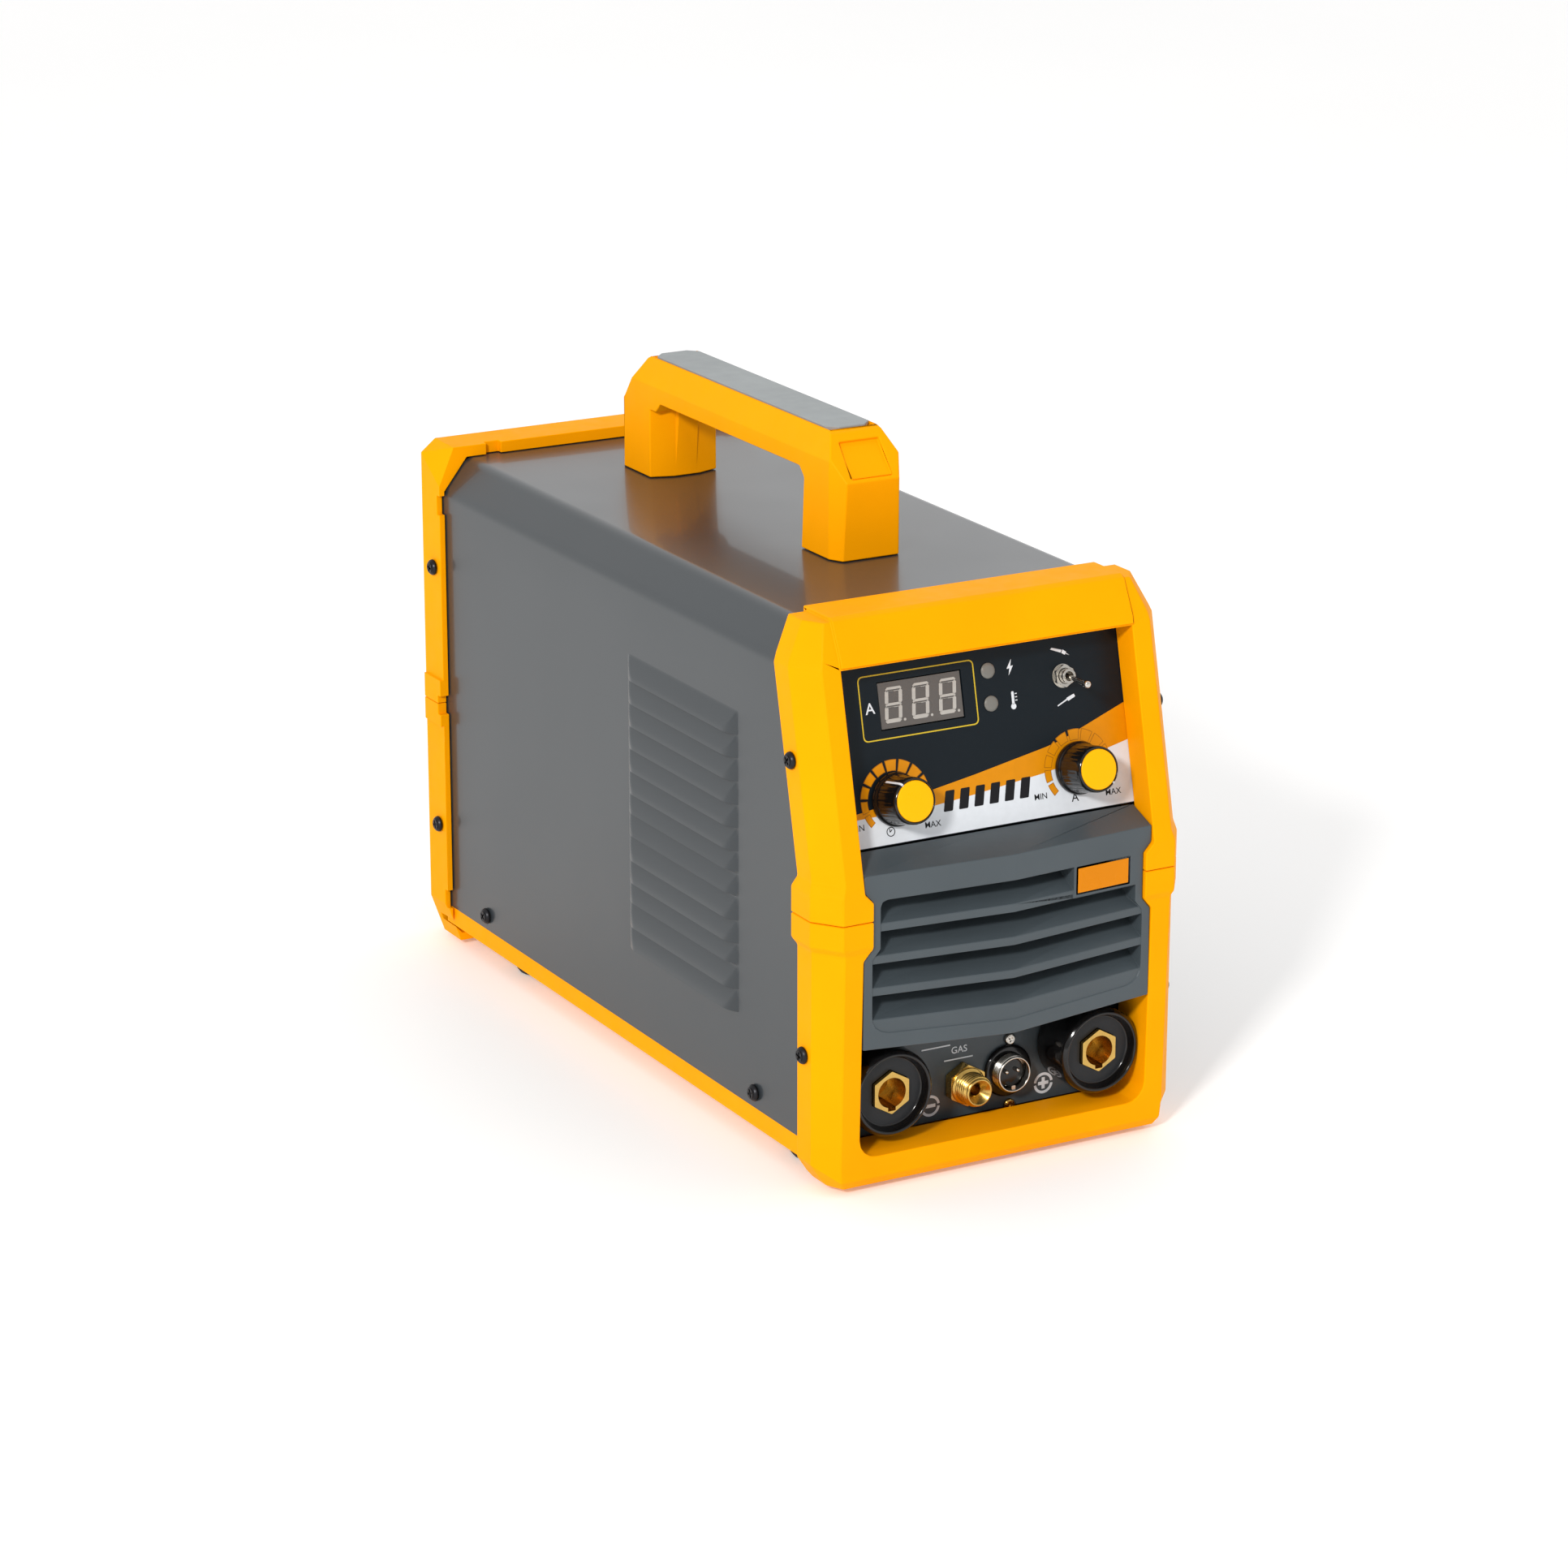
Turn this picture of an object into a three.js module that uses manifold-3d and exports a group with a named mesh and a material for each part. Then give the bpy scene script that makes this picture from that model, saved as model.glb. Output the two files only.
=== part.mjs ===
// A portable TIG welding machine: two moulded frames, a folded steel cover, a tilted control panel,
// a louvered grille, weld sockets, a carrying handle, and the electrical parts inside.
// Millimetres. +X is right seen from the front, -Y is the front, +Z is up, and the feet stand on z = 0.
import * as THREE from 'three';
import { mergeVertices } from 'three/addons/utils/BufferGeometryUtils.js';
import Module from 'manifold-3d';

const wasm = await Module();
wasm.setup();

// ---- driving dimensions ----
const cover = {
  half: 79, top: 222.5, crease: 208.5, topHalf: 68, bottom: 18.5, sheet: 1.2, front: -170.4, rear: 164,
};
const frame = { half: 82.3, bottom: 2.5, seam: 113, seamGap: 0.15 };
const bezel = {
  front: -182, rise: 128.5, tilt: THREE.MathUtils.degToRad(13), lip: 212.5, top: 226, hood: 227.5,
};
const band = { low: 103, high: 124, proud: 1.3, reach: 2.6 };
const rear = { front: 155, back: 184, top: 228.5, half: 82.3 };
const opening = { half: 65.6, waist: 61.8, bottom: 14.8, top: 208.9, corner: 8 };
const tray = { bottom: 10, lip: 18.2, half: 78.6, front: -170, rear: 163 };
const panel = { y: -169.9, z: 136.7, half: 74, height: 77, thick: 2 };
const toggle = { x: 39, up: 54.2, lean: 12, pivot: 4.2 };
const lamp = { x: 5.6, power: 60.8, overheat: 47.9 };
const display = { left: -43.5, right: -6.7, low: 44.6, high: 62.6 };
const knob = { x: 41.5, up: 17.4, skirt: 10.6, cap: 8.05, tall: 16.5 };
const backPlane = { y: -157, thick: 2.5, top: 131 };
const socket = { x: 47.8, z: 37.3, radius: 17.8, front: -178.4, bore: 6.2, hex: 8.9 };
const torch = { x: 16.3, z: 28.6, flange: 10.9, barrel: 7.9, front: -163.8 };
const outlet = { x: -4.3, z: 27.2, thread: 6.5, front: -171, bore: 2.2 };
const grille = {
  side: -184, ridge: -188.8, back: -160, bottom: 60.5, top: 131.2,
  pitch: 12.95, slat: 72.4, lip: 3.3, sag: 0.05,
};
const badge = { x: 42, z: 114.7, half: 12.3, tall: 5.1 };
const handle = {
  half: 16, base: 222.8, under: 256.3, top: 273.5, front: -75.4, rear: 114, inFront: -47, inRear: 81,
};
const foot = { x: 60, front: -136, rear: 110, radius: 9.4, height: 9.7 };
const louver = { rear: -16, front: -109, count: 13, pitch: 9.6, lowest: 54.6, reach: 3.2, tall: 8.2 };
const fan = { z: 92, half: 46, front: 139, rear: 165.4, duct: 43, rotor: 41, hub: 19 };
const backPanel = { y: 166, thick: 2, half: 75.5, bottom: 12.6, top: 219 };
const power = { x: 36, z: 178, wide: 26, tall: 31, wellHalf: 10.6, wellTall: 14, rockerHalf: 10 };
const inlet = { x: -48, z: 34, radius: 4, tip: 190 };
const gland = { x: -36, z: 172, radius: 9.5, bore: 4.6 };
const board = { left: -54, right: 62, front: -116, rear: 118, z: 30 };

const colours = {
  amber: 0xf5a800, steel: 0x676c70, charcoal: 0x464d54, black: 0x15161a, navy: 0x141c26, yellow: 0xffcd00,
  brass: 0xb88628, nickel: 0xb9b7b0, grey: 0x8d9094, board: 0x1f5a34, alloy: 0xa9acb0, copper: 0xa8542a,
  lens: 0x8d8a86, rubber: 0x1c1c1e, hose: 0x2a3550,
};
const finishes = {
  amber: [0.42, 0], steel: [0.4, 0.6], charcoal: [0.5, 0], black: [0.3, 0], navy: [0.35, 0],
  yellow: [0.3, 0], brass: [0.3, 1], nickel: [0.3, 1], grey: [0.6, 0], board: [0.5, 0], alloy: [0.4, 1],
  copper: [0.4, 0.9],
  lens: [0.2, 0], rubber: [0.8, 0], hose: [0.6, 0],
};

const machine = new THREE.Group();

// ---- geometry helpers ----
function box(x0, x1, y0, y1, z0, z1) {
  const geometry = new THREE.BoxGeometry(x1 - x0, y1 - y0, z1 - z0);
  return geometry.translate((x0 + x1) / 2, (y0 + y1) / 2, (z0 + z1) / 2);
}

function shapeOf(points, holes = []) {
  const shape = new THREE.Shape(points.map(([a, b]) => new THREE.Vector2(a, b)));
  for (const hole of holes) shape.holes.push(new THREE.Path(hole.map(([a, b]) => new THREE.Vector2(a, b))));
  return shape;
}

function extrude(shape, depth) {
  return new THREE.ExtrudeGeometry(shape, { depth, bevelEnabled: false, curveSegments: 12 });
}

// An outline of [x, z] points swept from y0 to y1.
function alongY(points, y0, y1, holes) {
  return extrude(shapeOf(points, holes), y1 - y0).rotateX(Math.PI / 2).translate(0, y1, 0);
}

// An outline of [y, z] points swept from x0 to x1.
function alongX(points, x0, x1, holes) {
  const turn = new THREE.Matrix4().makeBasis(
    new THREE.Vector3(0, 1, 0), new THREE.Vector3(0, 0, 1), new THREE.Vector3(1, 0, 0));
  return extrude(shapeOf(points, holes), x1 - x0).applyMatrix4(turn).translate(x0, 0, 0);
}

// An outline of [x, y] points swept from z0 to z1.
function alongZ(points, z0, z1, holes) {
  return extrude(shapeOf(points, holes), z1 - z0).translate(0, 0, z0);
}

// A profile of [radius, distance] points turned about Y, with distance running to -Y (forward).
function turned(profile, x, y, z, segments = 24) {
  const points = profile.map(([radius, along]) => new THREE.Vector2(radius, along));
  return new THREE.LatheGeometry(points, segments).rotateX(Math.PI).translate(x, y, z);
}

// The same, turned about Z, with distance running up.
function turnedUp(profile, x, y, z, segments = 24) {
  const points = profile.map(([radius, along]) => new THREE.Vector2(radius, along));
  return new THREE.LatheGeometry(points, segments).rotateX(Math.PI / 2).translate(x, y, z);
}

// A round bar along X, used for screw holes and screws.
function barX(radius, x0, x1, y, z, sides = 10) {
  const geometry = new THREE.CylinderGeometry(radius, radius, Math.abs(x1 - x0), sides);
  return geometry.rotateZ(Math.PI / 2).translate((x0 + x1) / 2, y, z);
}

function barY(radius, y0, y1, x, z, sides = 20) {
  return new THREE.CylinderGeometry(radius, radius, y1 - y0, sides).translate(x, (y0 + y1) / 2, z);
}

function polygon(radius, sides, start = 0) {
  const points = [];
  for (let i = 0; i < sides; i += 1) {
    const angle = start + (2 * Math.PI * i) / sides;
    points.push([radius * Math.cos(angle), radius * Math.sin(angle)]);
  }
  return points;
}

function shifted(points, dx, dz) {
  return points.map(([x, z]) => [x + dx, z + dz]);
}

// A closed skin through rings of [x, y, z] points, capped at both ends. `across` names a cap's two axes.
function loft(rings, across) {
  const count = rings[0].length;
  const positions = rings.flat(2);
  const flat = rings[0].map((point) => new THREE.Vector2(point[across[0]], point[across[1]]));
  const faces = THREE.ShapeUtils.triangulateShape(flat, []);
  const last = (rings.length - 1) * count;
  const index = [];
  for (const [a, b, c] of faces) index.push(a, c, b, last + a, last + b, last + c);
  for (let level = 0; level + 1 < rings.length; level += 1) {
    for (let i = 0; i < count; i += 1) {
      const a = level * count + i;
      const b = level * count + ((i + 1) % count);
      index.push(a, b, a + count, b, b + count, a + count);
    }
  }
  const geometry = new THREE.BufferGeometry();
  geometry.setAttribute('position', new THREE.Float32BufferAttribute(positions, 3));
  geometry.setIndex(index);
  return geometry;
}

// ---- solids that cut and join ----
function solid(geometry) {
  const bare = new THREE.BufferGeometry();
  bare.setAttribute('position', geometry.getAttribute('position').clone());
  if (geometry.index) bare.setIndex(geometry.index.clone());
  const merged = mergeVertices(bare, 1e-3);
  return new wasm.Manifold(new wasm.Mesh({
    numProp: 3,
    vertProperties: new Float32Array(merged.getAttribute('position').array),
    triVerts: new Uint32Array(merged.index.array),
  }));
}

function join(base, ...others) {
  return others.reduce((sum, other) => sum.add(other), base);
}

function cut(base, ...tools) {
  return tools.reduce((rest, tool) => rest.subtract(tool), base);
}

function asGeometry(body) {
  const mesh = body.getMesh();
  const geometry = new THREE.BufferGeometry();
  const positions = Float32Array.from(mesh.vertProperties);
  geometry.setAttribute('position', new THREE.Float32BufferAttribute(positions, 3));
  geometry.setIndex(new THREE.Uint32BufferAttribute(Uint32Array.from(mesh.triVerts), 1));
  return geometry;
}

function add(name, body, colour, parent = machine) {
  const geometry = body.isBufferGeometry ? body : asGeometry(body);
  const [roughness, metalness] = finishes[colour];
  const material = new THREE.MeshStandardMaterial({ color: colours[colour], roughness, metalness });
  const mesh = new THREE.Mesh(geometry, material);
  mesh.name = name;
  parent.add(mesh);
  return mesh;
}

// ---- outlines shared by several parts ----
const lean = (z) => Math.max(0, z - bezel.rise) * Math.tan(bezel.tilt);

// The opening in the front frame, seen from the front, grown or shrunk by `grow`.
function openingOutline(grow = 0) {
  const { half, waist, bottom, top, corner } = opening;
  const right = [];
  for (let i = 0; i <= 4; i += 1) {
    const angle = -Math.PI / 2 + (i * Math.PI) / 8;
    right.push([
      half - corner + (corner + grow) * Math.cos(angle),
      bottom + corner + (corner + grow) * Math.sin(angle),
    ]);
  }
  right.push([half + grow, 97], [waist + grow, 101.5], [waist + grow, 120.5], [half + grow, 124.5]);
  right.push([half + grow, top + grow]);
  const left = right.map(([x, z]) => [-x, z]).reverse();
  return [...right, ...left];
}

// One level of the front frame: [z, back half width, front half width, front y, chamfer y, back y].
function frameRing([z, wide, narrow, front, shoulder, back]) {
  return [
    [-narrow, front, z], [narrow, front, z], [wide, shoulder, z],
    [wide, back, z], [-wide, back, z], [-wide, shoulder, z],
  ];
}

function coverOutline(inset) {
  const { half, crease, top, topHalf } = cover;
  const right = [
    [half - inset, cover.bottom], [half - inset, crease - inset * 0.4],
    [topHalf - inset * 0.4, top - inset],
  ];
  return [...right, ...right.map(([x, z]) => [-x, z]).reverse()];
}

// ---- front frame ----
function frontFrame() {
  const { front } = bezel;
  const plain = [82.3, 74];
  const proud = plain.map((half) => half + band.proud);
  const outer = solid(loft([
    [frame.bottom, 75, 71.5, front + 2, -173, -162],
    [6, 78, 73.5, front, -173, -162],
    [12.5, ...plain, front - 0.3, -173, -162],
    [band.low - 2.5, ...plain, front - 3, -173.5, -162],
    [band.low, ...proud, front - 4, -174.5, -162 + band.reach],
    [band.high, ...proud, front - 4, -174.5, -162 + band.reach],
    [bezel.rise, ...plain, front - 3, -173.5, -162],
    [209.5, ...plain, -185 + lean(209.5), -173.5 + lean(209.5), -143.6],
    [bezel.lip, 81, 73.4, -165.6, -154, -142.8],
    [bezel.top, 74, 69, -158.8, -151, -140],
  ].map(frameRing), [0, 1]));
  const pocket = solid(loft([
    [6, 76, 70, -178.5, -171, -120],
    [9.7, 79.1, 71, -178.8, -171, -120],
    [12.8, 79.4, 71, -178.8, -171, -120],
    [bezel.rise, 79.4, 71, -181.5, -171.5, -120],
    [208.7, 79.4, 71, -163, -153, -120],
    [222.8, 68.4, 65, -156.5, -151, -120],
  ].map(frameRing), [0, 1]));
  const hood = solid(alongX([
    [-167.1, 209.2], [-166.5, 212.5], [-159.7, 226.3], [-157.2, bezel.hood], [-137.5, bezel.hood],
    [-137.5, 223.5], [-157.2, 223.2], [-163.2, 209.2],
  ], -66, 66));
  const divider = solid(alongX([
    [-200, 4], [-157.3, 4], [-157.3, 134.5], [-170.6, 134.5], [-170.2, 136.7], [-152.1, 214], [-200, 214],
  ], -100, 100));
  const walls = solid(alongY(openingOutline(2.4), -200, -150)).intersect(divider).intersect(outer);
  const way = solid(alongY(openingOutline(), -210, -120));
  let body = cut(join(outer.subtract(pocket), hood, walls), way);
  for (const side of [-1, 1]) {
    for (const [y, z] of frontScrews) body = cut(body, solid(barX(2.2, side * 75, side * 90, y, z)));
  }
  const low = solid(box(-100, 100, -220, -100, -10, frame.seam - frame.seamGap));
  const high = solid(box(-100, 100, -220, -100, frame.seam + frame.seamGap, 250));
  add('front_frame_lower', body.intersect(low), 'amber');
  add('front_frame_upper', body.intersect(high), 'amber');
}

// ---- rear frame ----
function rearRing(y, half, foot_, topHalf, cornerZ, top, bottom) {
  return [
    [-foot_, y, bottom], [foot_, y, bottom], [half, y, 20], [half, y, cornerZ],
    [topHalf, y, top], [-topHalf, y, top], [-half, y, cornerZ], [-half, y, 20],
  ];
}

function rearFrame() {
  const flip = (ring) => ring.slice().reverse();
  const outer = solid(loft([
    rearRing(rear.front, 82, 76, 74.8, 211, 227.7, frame.bottom),
    rearRing(172, rear.half, 76, 75.5, 223, rear.top, frame.bottom),
    rearRing(rear.back, 75, 70, 70, 217, 222, 7),
  ].map(flip), [2, 0]));
  const pocket = solid(alongY([
    [79.4, 10.5], [79.4, 208.6], [68.4, 222.8], [-68.4, 222.8], [-79.4, 208.6], [-79.4, 10.5],
    [-75, 6], [75, 6],
  ], 150, 168.3));
  const way = solid(alongY([
    [58, 16], [66, 24], [66, 205], [58, 213], [-58, 213], [-66, 205], [-66, 24], [-58, 16],
  ], 160, 190));
  const reach = rear.half + band.proud;
  const collar = solid(box(-reach, reach, rear.front, 171, band.low, band.high))
    .subtract(solid(box(-80, 80, 150, 190, 90, 140)));
  let body = cut(outer, pocket, way).add(collar);
  for (const side of [-1, 1]) {
    for (const [y, z] of rearScrews) body = cut(body, solid(barX(2.2, side * 75, side * 90, y, z)));
    const [inner, reachOut] = side > 0 ? [70, 95] : [-95, -70];
    for (const z of clipSlots.levels) {
      body = cut(body, solid(box(inner, reachOut, 140, clipSlots.depth, z - 4.2, z + 4.2)));
    }
    const [near, far] = side > 0 ? [52, 59] : [-59, -52];
    body = cut(body, solid(box(near, far, 140, clipSlots.depth, 215, 240)));
  }
  const low = solid(box(-100, 100, 100, 220, -10, frame.seam - frame.seamGap));
  const high = solid(box(-100, 100, 100, 220, frame.seam + frame.seamGap, 250));
  add('rear_frame_lower', body.intersect(low), 'amber');
  add('rear_frame_upper', body.intersect(high), 'amber');
}

const frontScrews = [[-167.7, 56.6], [-158.2, 173.5]];
const rearScrews = [[161, 56.6], [161, 174]];
const clipSlots = { depth: 157.6, levels: [22.5, 112.5, 202.5] };
const coverScrews = [[-122.5, 25.1], [120.8, 25.1]];

function screwX(name, side, face, y, z) {
  const head = solid(new THREE.LatheGeometry([
    new THREE.Vector2(0, 0), new THREE.Vector2(3.5, 0), new THREE.Vector2(3.5, 0.9),
    new THREE.Vector2(2.5, 2), new THREE.Vector2(0, 2.3),
  ], 10).rotateZ(side > 0 ? -Math.PI / 2 : Math.PI / 2).translate(side * face, y, z));
  const shank = solid(barX(1.8, side * (face - 7), side * (face + 0.5), y, z, 8));
  add(name, head.add(shank), 'black');
}

function screws() {
  const sides = [[-1, 'left'], [1, 'right']];
  for (const [side, word] of sides) {
    screwX(`front_frame_screw_low_${word}`, side, frame.half + 0.3, ...frontScrews[0]);
    screwX(`front_frame_screw_high_${word}`, side, frame.half + 0.3, ...frontScrews[1]);
    screwX(`rear_frame_screw_low_${word}`, side, frame.half + 0.3, ...rearScrews[0]);
    screwX(`rear_frame_screw_high_${word}`, side, frame.half + 0.3, ...rearScrews[1]);
    screwX(`cover_screw_front_${word}`, side, cover.half + 0.3, ...coverScrews[0]);
    screwX(`cover_screw_rear_${word}`, side, cover.half + 0.3, ...coverScrews[1]);
  }
}

// ---- cover, tray and feet ----
function louverHood(side, z) {
  const x = side * (cover.half - 0.6);
  const out = side * (cover.half + louver.reach);
  const { rear: y1, front: y0, tall } = louver;
  const ring = (y, reachX, low) => [[x, y, z + tall], [x, y, low], [reachX, y, low]];
  const flush = x + side * 0.7;
  const rings = [ring(y0, flush, z), ring(y0 + 8, out, z), ring(y1 - 8, out, z), ring(y1, flush, z)];
  const ordered = side > 0 ? rings.map((points) => points.slice().reverse()) : rings;
  return solid(loft(ordered, [2, 0]));
}

function louverWay(side, z) {
  const inner = side * (cover.half - 4);
  const outer = side * (cover.half + louver.reach - 1.1);
  const points = side > 0
    ? [[inner, z - 1], [outer, z - 1], [outer, z + 1.4], [inner, z + 5]]
    : [[inner, z + 5], [outer, z + 1.4], [outer, z - 1], [inner, z - 1]];
  return solid(alongY(points, louver.front + 8, louver.rear - 8));
}

function coverShell() {
  const side = solid(alongX([
    [cover.front, cover.bottom], [cover.rear, cover.bottom], [cover.rear, cover.top + 1],
    [-150, cover.top + 1], [-153.5, 208], [cover.front, bezel.rise],
  ], -90, 90));
  const outer = solid(alongY(coverOutline(0), -180, 170));
  const inner = solid(alongY(coverOutline(cover.sheet), -190, 180));
  const open = solid(box(-77.8, 77.8, -190, 180, 10, 30));
  let body = cut(outer.intersect(side), inner, open);
  const levels = Array.from({ length: louver.count }, (_, i) => louver.lowest + i * louver.pitch);
  for (const hand of [-1, 1]) {
    for (const z of levels) body = body.add(louverHood(hand, z));
    for (const z of levels) body = cut(body, louverWay(hand, z));
    for (const [y, z] of [...frontScrews, ...rearScrews, ...coverScrews]) {
      body = cut(body, solid(barX(2.2, hand * 70, hand * 90, y, z)));
    }
  }
  add('cover', body, 'steel');
}

function baseTray() {
  const { bottom, lip, half, front, rear: back } = tray;
  const floor = box(-half, half, front, back, bottom, bottom + 1.2);
  let body = solid(floor);
  for (const side of [-1, 1]) {
    const flange = side > 0 ? [half - 1.2, half] : [-half, -half + 1.2];
    const inner = side > 0 ? [half - 2.7, half - 1.5] : [-half + 1.5, -half + 2.7];
    body = join(body, solid(box(...flange, front, back, bottom, lip)));
    body = join(body, solid(box(...inner, -150, 150, bottom, 33)));
    for (const [y, z] of coverScrews) body = cut(body, solid(barX(2.2, side * 70, side * 78, y, z)));
  }
  add('base_tray', body, 'amber');
}

function feet() {
  const { x, radius, height } = foot;
  const profile = [
    [0, 0], [radius - 1.4, 0], [radius, 1.6], [radius, height - 1], [radius - 0.6, height], [0, height],
  ];
  for (const [word, y] of [['front', foot.front], ['rear', foot.rear]]) {
    for (const [hand, side] of [['left', -1], ['right', 1]]) {
      add(`foot_${word}_${hand}`, solid(turnedUp(profile, side * x, y, 0, 16)), 'rubber');
    }
  }
}

// ---- handle ----
function handleParts() {
  const { half, base, under, top, front, rear: back, inFront, inRear } = handle;
  const side = solid(alongX([
    [front, base], [inFront, base], [inFront - 1.8, under - 4], [inFront + 2, under], [inRear - 6, under],
    [inRear - 2, under - 4], [inRear, base], [back, base], [back - 6, 253.5], [back - 20, top - 1],
    [back - 22, top], [front + 15, top], [front + 12.5, top - 1], [front - 1.6, 255],
  ], -half, half));
  const section = solid(alongY([
    [half, base - 1], [half, 263], [half - 5, top + 0.5],
    [-half + 5, top + 0.5], [-half, 263], [-half, base - 1],
  ], -90, 125));
  const plan = solid(alongZ([
    [-11.3, front - 3], [11.3, front - 3], [half + 1, front + 8], [half + 1, back - 8], [11.3, back + 3],
    [-11.3, back + 3], [-half - 1, back - 8], [-half - 1, front + 8],
  ], base - 1, top + 1));
  const seat = solid(box(-10.4, 10.4, front + 15.5, back - 21.5, top - 1.5, top + 1));
  let body = cut(side.intersect(section).intersect(plan), seat);
  for (const hand of [-1, 1]) {
    const corner = [
      [5, inRear - 3], [5, inRear - 0.4], [half + 1, inRear + 3.6], [half + 1, inRear - 3],
    ];
    const wedge = alongZ(corner.map(([x, y]) => [hand * x, y]), base - 1, under - 4);
    body = cut(body, solid(wedge));
  }
  add('handle', body, 'amber');
  const pad = alongZ([
    [-10.1, front + 20], [-6, front + 15.8], [6, front + 15.8], [10.1, front + 20], [10.1, back - 26],
    [6, back - 21.8], [-6, back - 21.8], [-10.1, back - 26],
  ], top - 1.2, top + 0.7);
  add('handle_pad', solid(pad), 'grey');
}

// ---- control panel and what it carries; x is right, -y is out of the panel, z is up its slope ----
function panelGroup() {
  const group = new THREE.Group();
  group.position.set(0, panel.y, panel.z);
  group.rotation.x = -bezel.tilt;
  machine.add(group);
  return group;
}

function controlPanel(group) {
  const holes = [
    barY(4.4, -5, 5, -knob.x, knob.up), barY(4.4, -5, 5, knob.x, knob.up),
    barY(3.4, -5, 5, toggle.x, toggle.up),
    barY(2.9, -5, 5, lamp.x, lamp.power), barY(2.9, -5, 5, lamp.x, lamp.overheat),
    box(display.left - 0.4, display.right + 0.4, -5, 5, display.low - 0.4, display.high + 0.4),
  ].map(solid);
  const plate = solid(box(-panel.half, panel.half, 0, panel.thick, 0, panel.height));
  const belt = solid(box(-16, 16, 0.8, 7, 9, 30)).subtract(solid(box(-15, 15, -1, 8, 10, 29)));
  add('control_panel', cut(plate, ...holes).subtract(belt), 'navy', group);
}

function knobParts(group, name, x) {
  const { skirt, cap, tall, up } = knob;
  const body = turned([
    [0, -14], [3, -14], [3, 0.4], [skirt, 0.4], [skirt, 3.5], [skirt - 1, 5], [9.3, tall - 1],
    [cap + 0.2, tall - 0.2], [cap + 0.2, tall - 1.7], [0, tall - 1.7],
  ], x, 0, up, 24);
  add(name, solid(body), 'black', group);
  add(`${name}_cap`, solid(turned([
    [0, tall - 1.4], [cap - 0.1, tall - 1.4], [cap - 0.1, tall - 0.5], [cap - 0.6, tall], [0, tall],
  ], x, 0, up, 24)), 'yellow', group);
}

function modeSwitch(group) {
  const { x, up, pivot } = toggle;
  const profile = [[0, -8], [3, -8], [3, 5.6], [1.9, 5.6], [1.9, 0.5], [0, 0.5]];
  const bushing = solid(turned(profile, x, 0, up, 16));
  const can = solid(box(x - 6.4, x + 6.4, 2.4, 14, up - 6.4, up + 6.4));
  add('mode_switch_body', can.add(bushing), 'nickel', group);
  const ring = extrude(shapeOf(polygon(4.6, 6, Math.PI / 2), [polygon(3.4, 12)]), 2);
  add('mode_switch_nut', solid(ring.rotateX(Math.PI / 2).translate(x, -0.4, up)), 'nickel', group);
  const lever = new THREE.LatheGeometry([
    new THREE.Vector2(0, -3), new THREE.Vector2(1, -3), new THREE.Vector2(0.9, 4),
    new THREE.Vector2(1.2, 13), new THREE.Vector2(1.2, 14.5), new THREE.Vector2(0.7, 15.3),
    new THREE.Vector2(0, 15.4),
  ], 12).rotateX(Math.PI + THREE.MathUtils.degToRad(toggle.lean)).translate(x, -pivot, up);
  add('mode_switch_lever', solid(lever), 'nickel', group);
}

function displayParts(group) {
  const { left, right, low, high } = display;
  add('display_module', solid(box(left, right, 0.4, 8, low, high)), 'lens', group);
  const dome = [[0, -5], [2.5, -5], [2.5, 0.8], [1.8, 1.9], [0, 2.4]];
  add('power_lamp', solid(turned(dome, lamp.x, 0, lamp.power, 14)), 'lens', group);
  add('overheat_lamp', solid(turned(dome, lamp.x, 0, lamp.overheat, 14)), 'lens', group);
}

function controlBoard(group) {
  let body = solid(box(-66, 66, 18, 19.6, 6, 72));
  for (const side of [-1, 1]) {
    const can = barY(8, 9.2, 18.5, side * knob.x, knob.up);
    const bushing = barY(4, 2.3, 10, side * knob.x, knob.up);
    const bore = barY(3.3, 0, 17, side * knob.x, knob.up);
    body = cut(join(body, solid(can), solid(bushing)), solid(bore));
  }
  add('control_board', body, 'board', group);
}

// ---- grille ----
// An outline of [y, z] points swept across the opening: it comes forward and sags towards the middle.
function vee(yAt, points) {
  const sag = (z) => grille.sag * Math.max(0, 120 - z);
  const reach = grille.ridge - grille.side;
  const side = (x) => points.map(([y, z]) => [x, y, z]);
  const middle = points.map(([y, z]) => [0, y < yAt ? y + reach : y, z - sag(z)]);
  return loft([side(-opening.half), middle, side(opening.half)], [1, 2]);
}

// The recess that the slats sit in, seen from the front.
function slatField() {
  const right = [
    [54.4, 66.3], [57.4, 67.2], [59.9, 69], [61.1, 71.4], [61.4, 74], [61.4, 96.8], [58, 101], [58, 117.8],
    [57.3, 119.8], [55.2, 120.6],
  ];
  return [[0, 63.4], ...right, ...right.map(([x, z]) => [-x, z]).reverse()];
}

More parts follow.
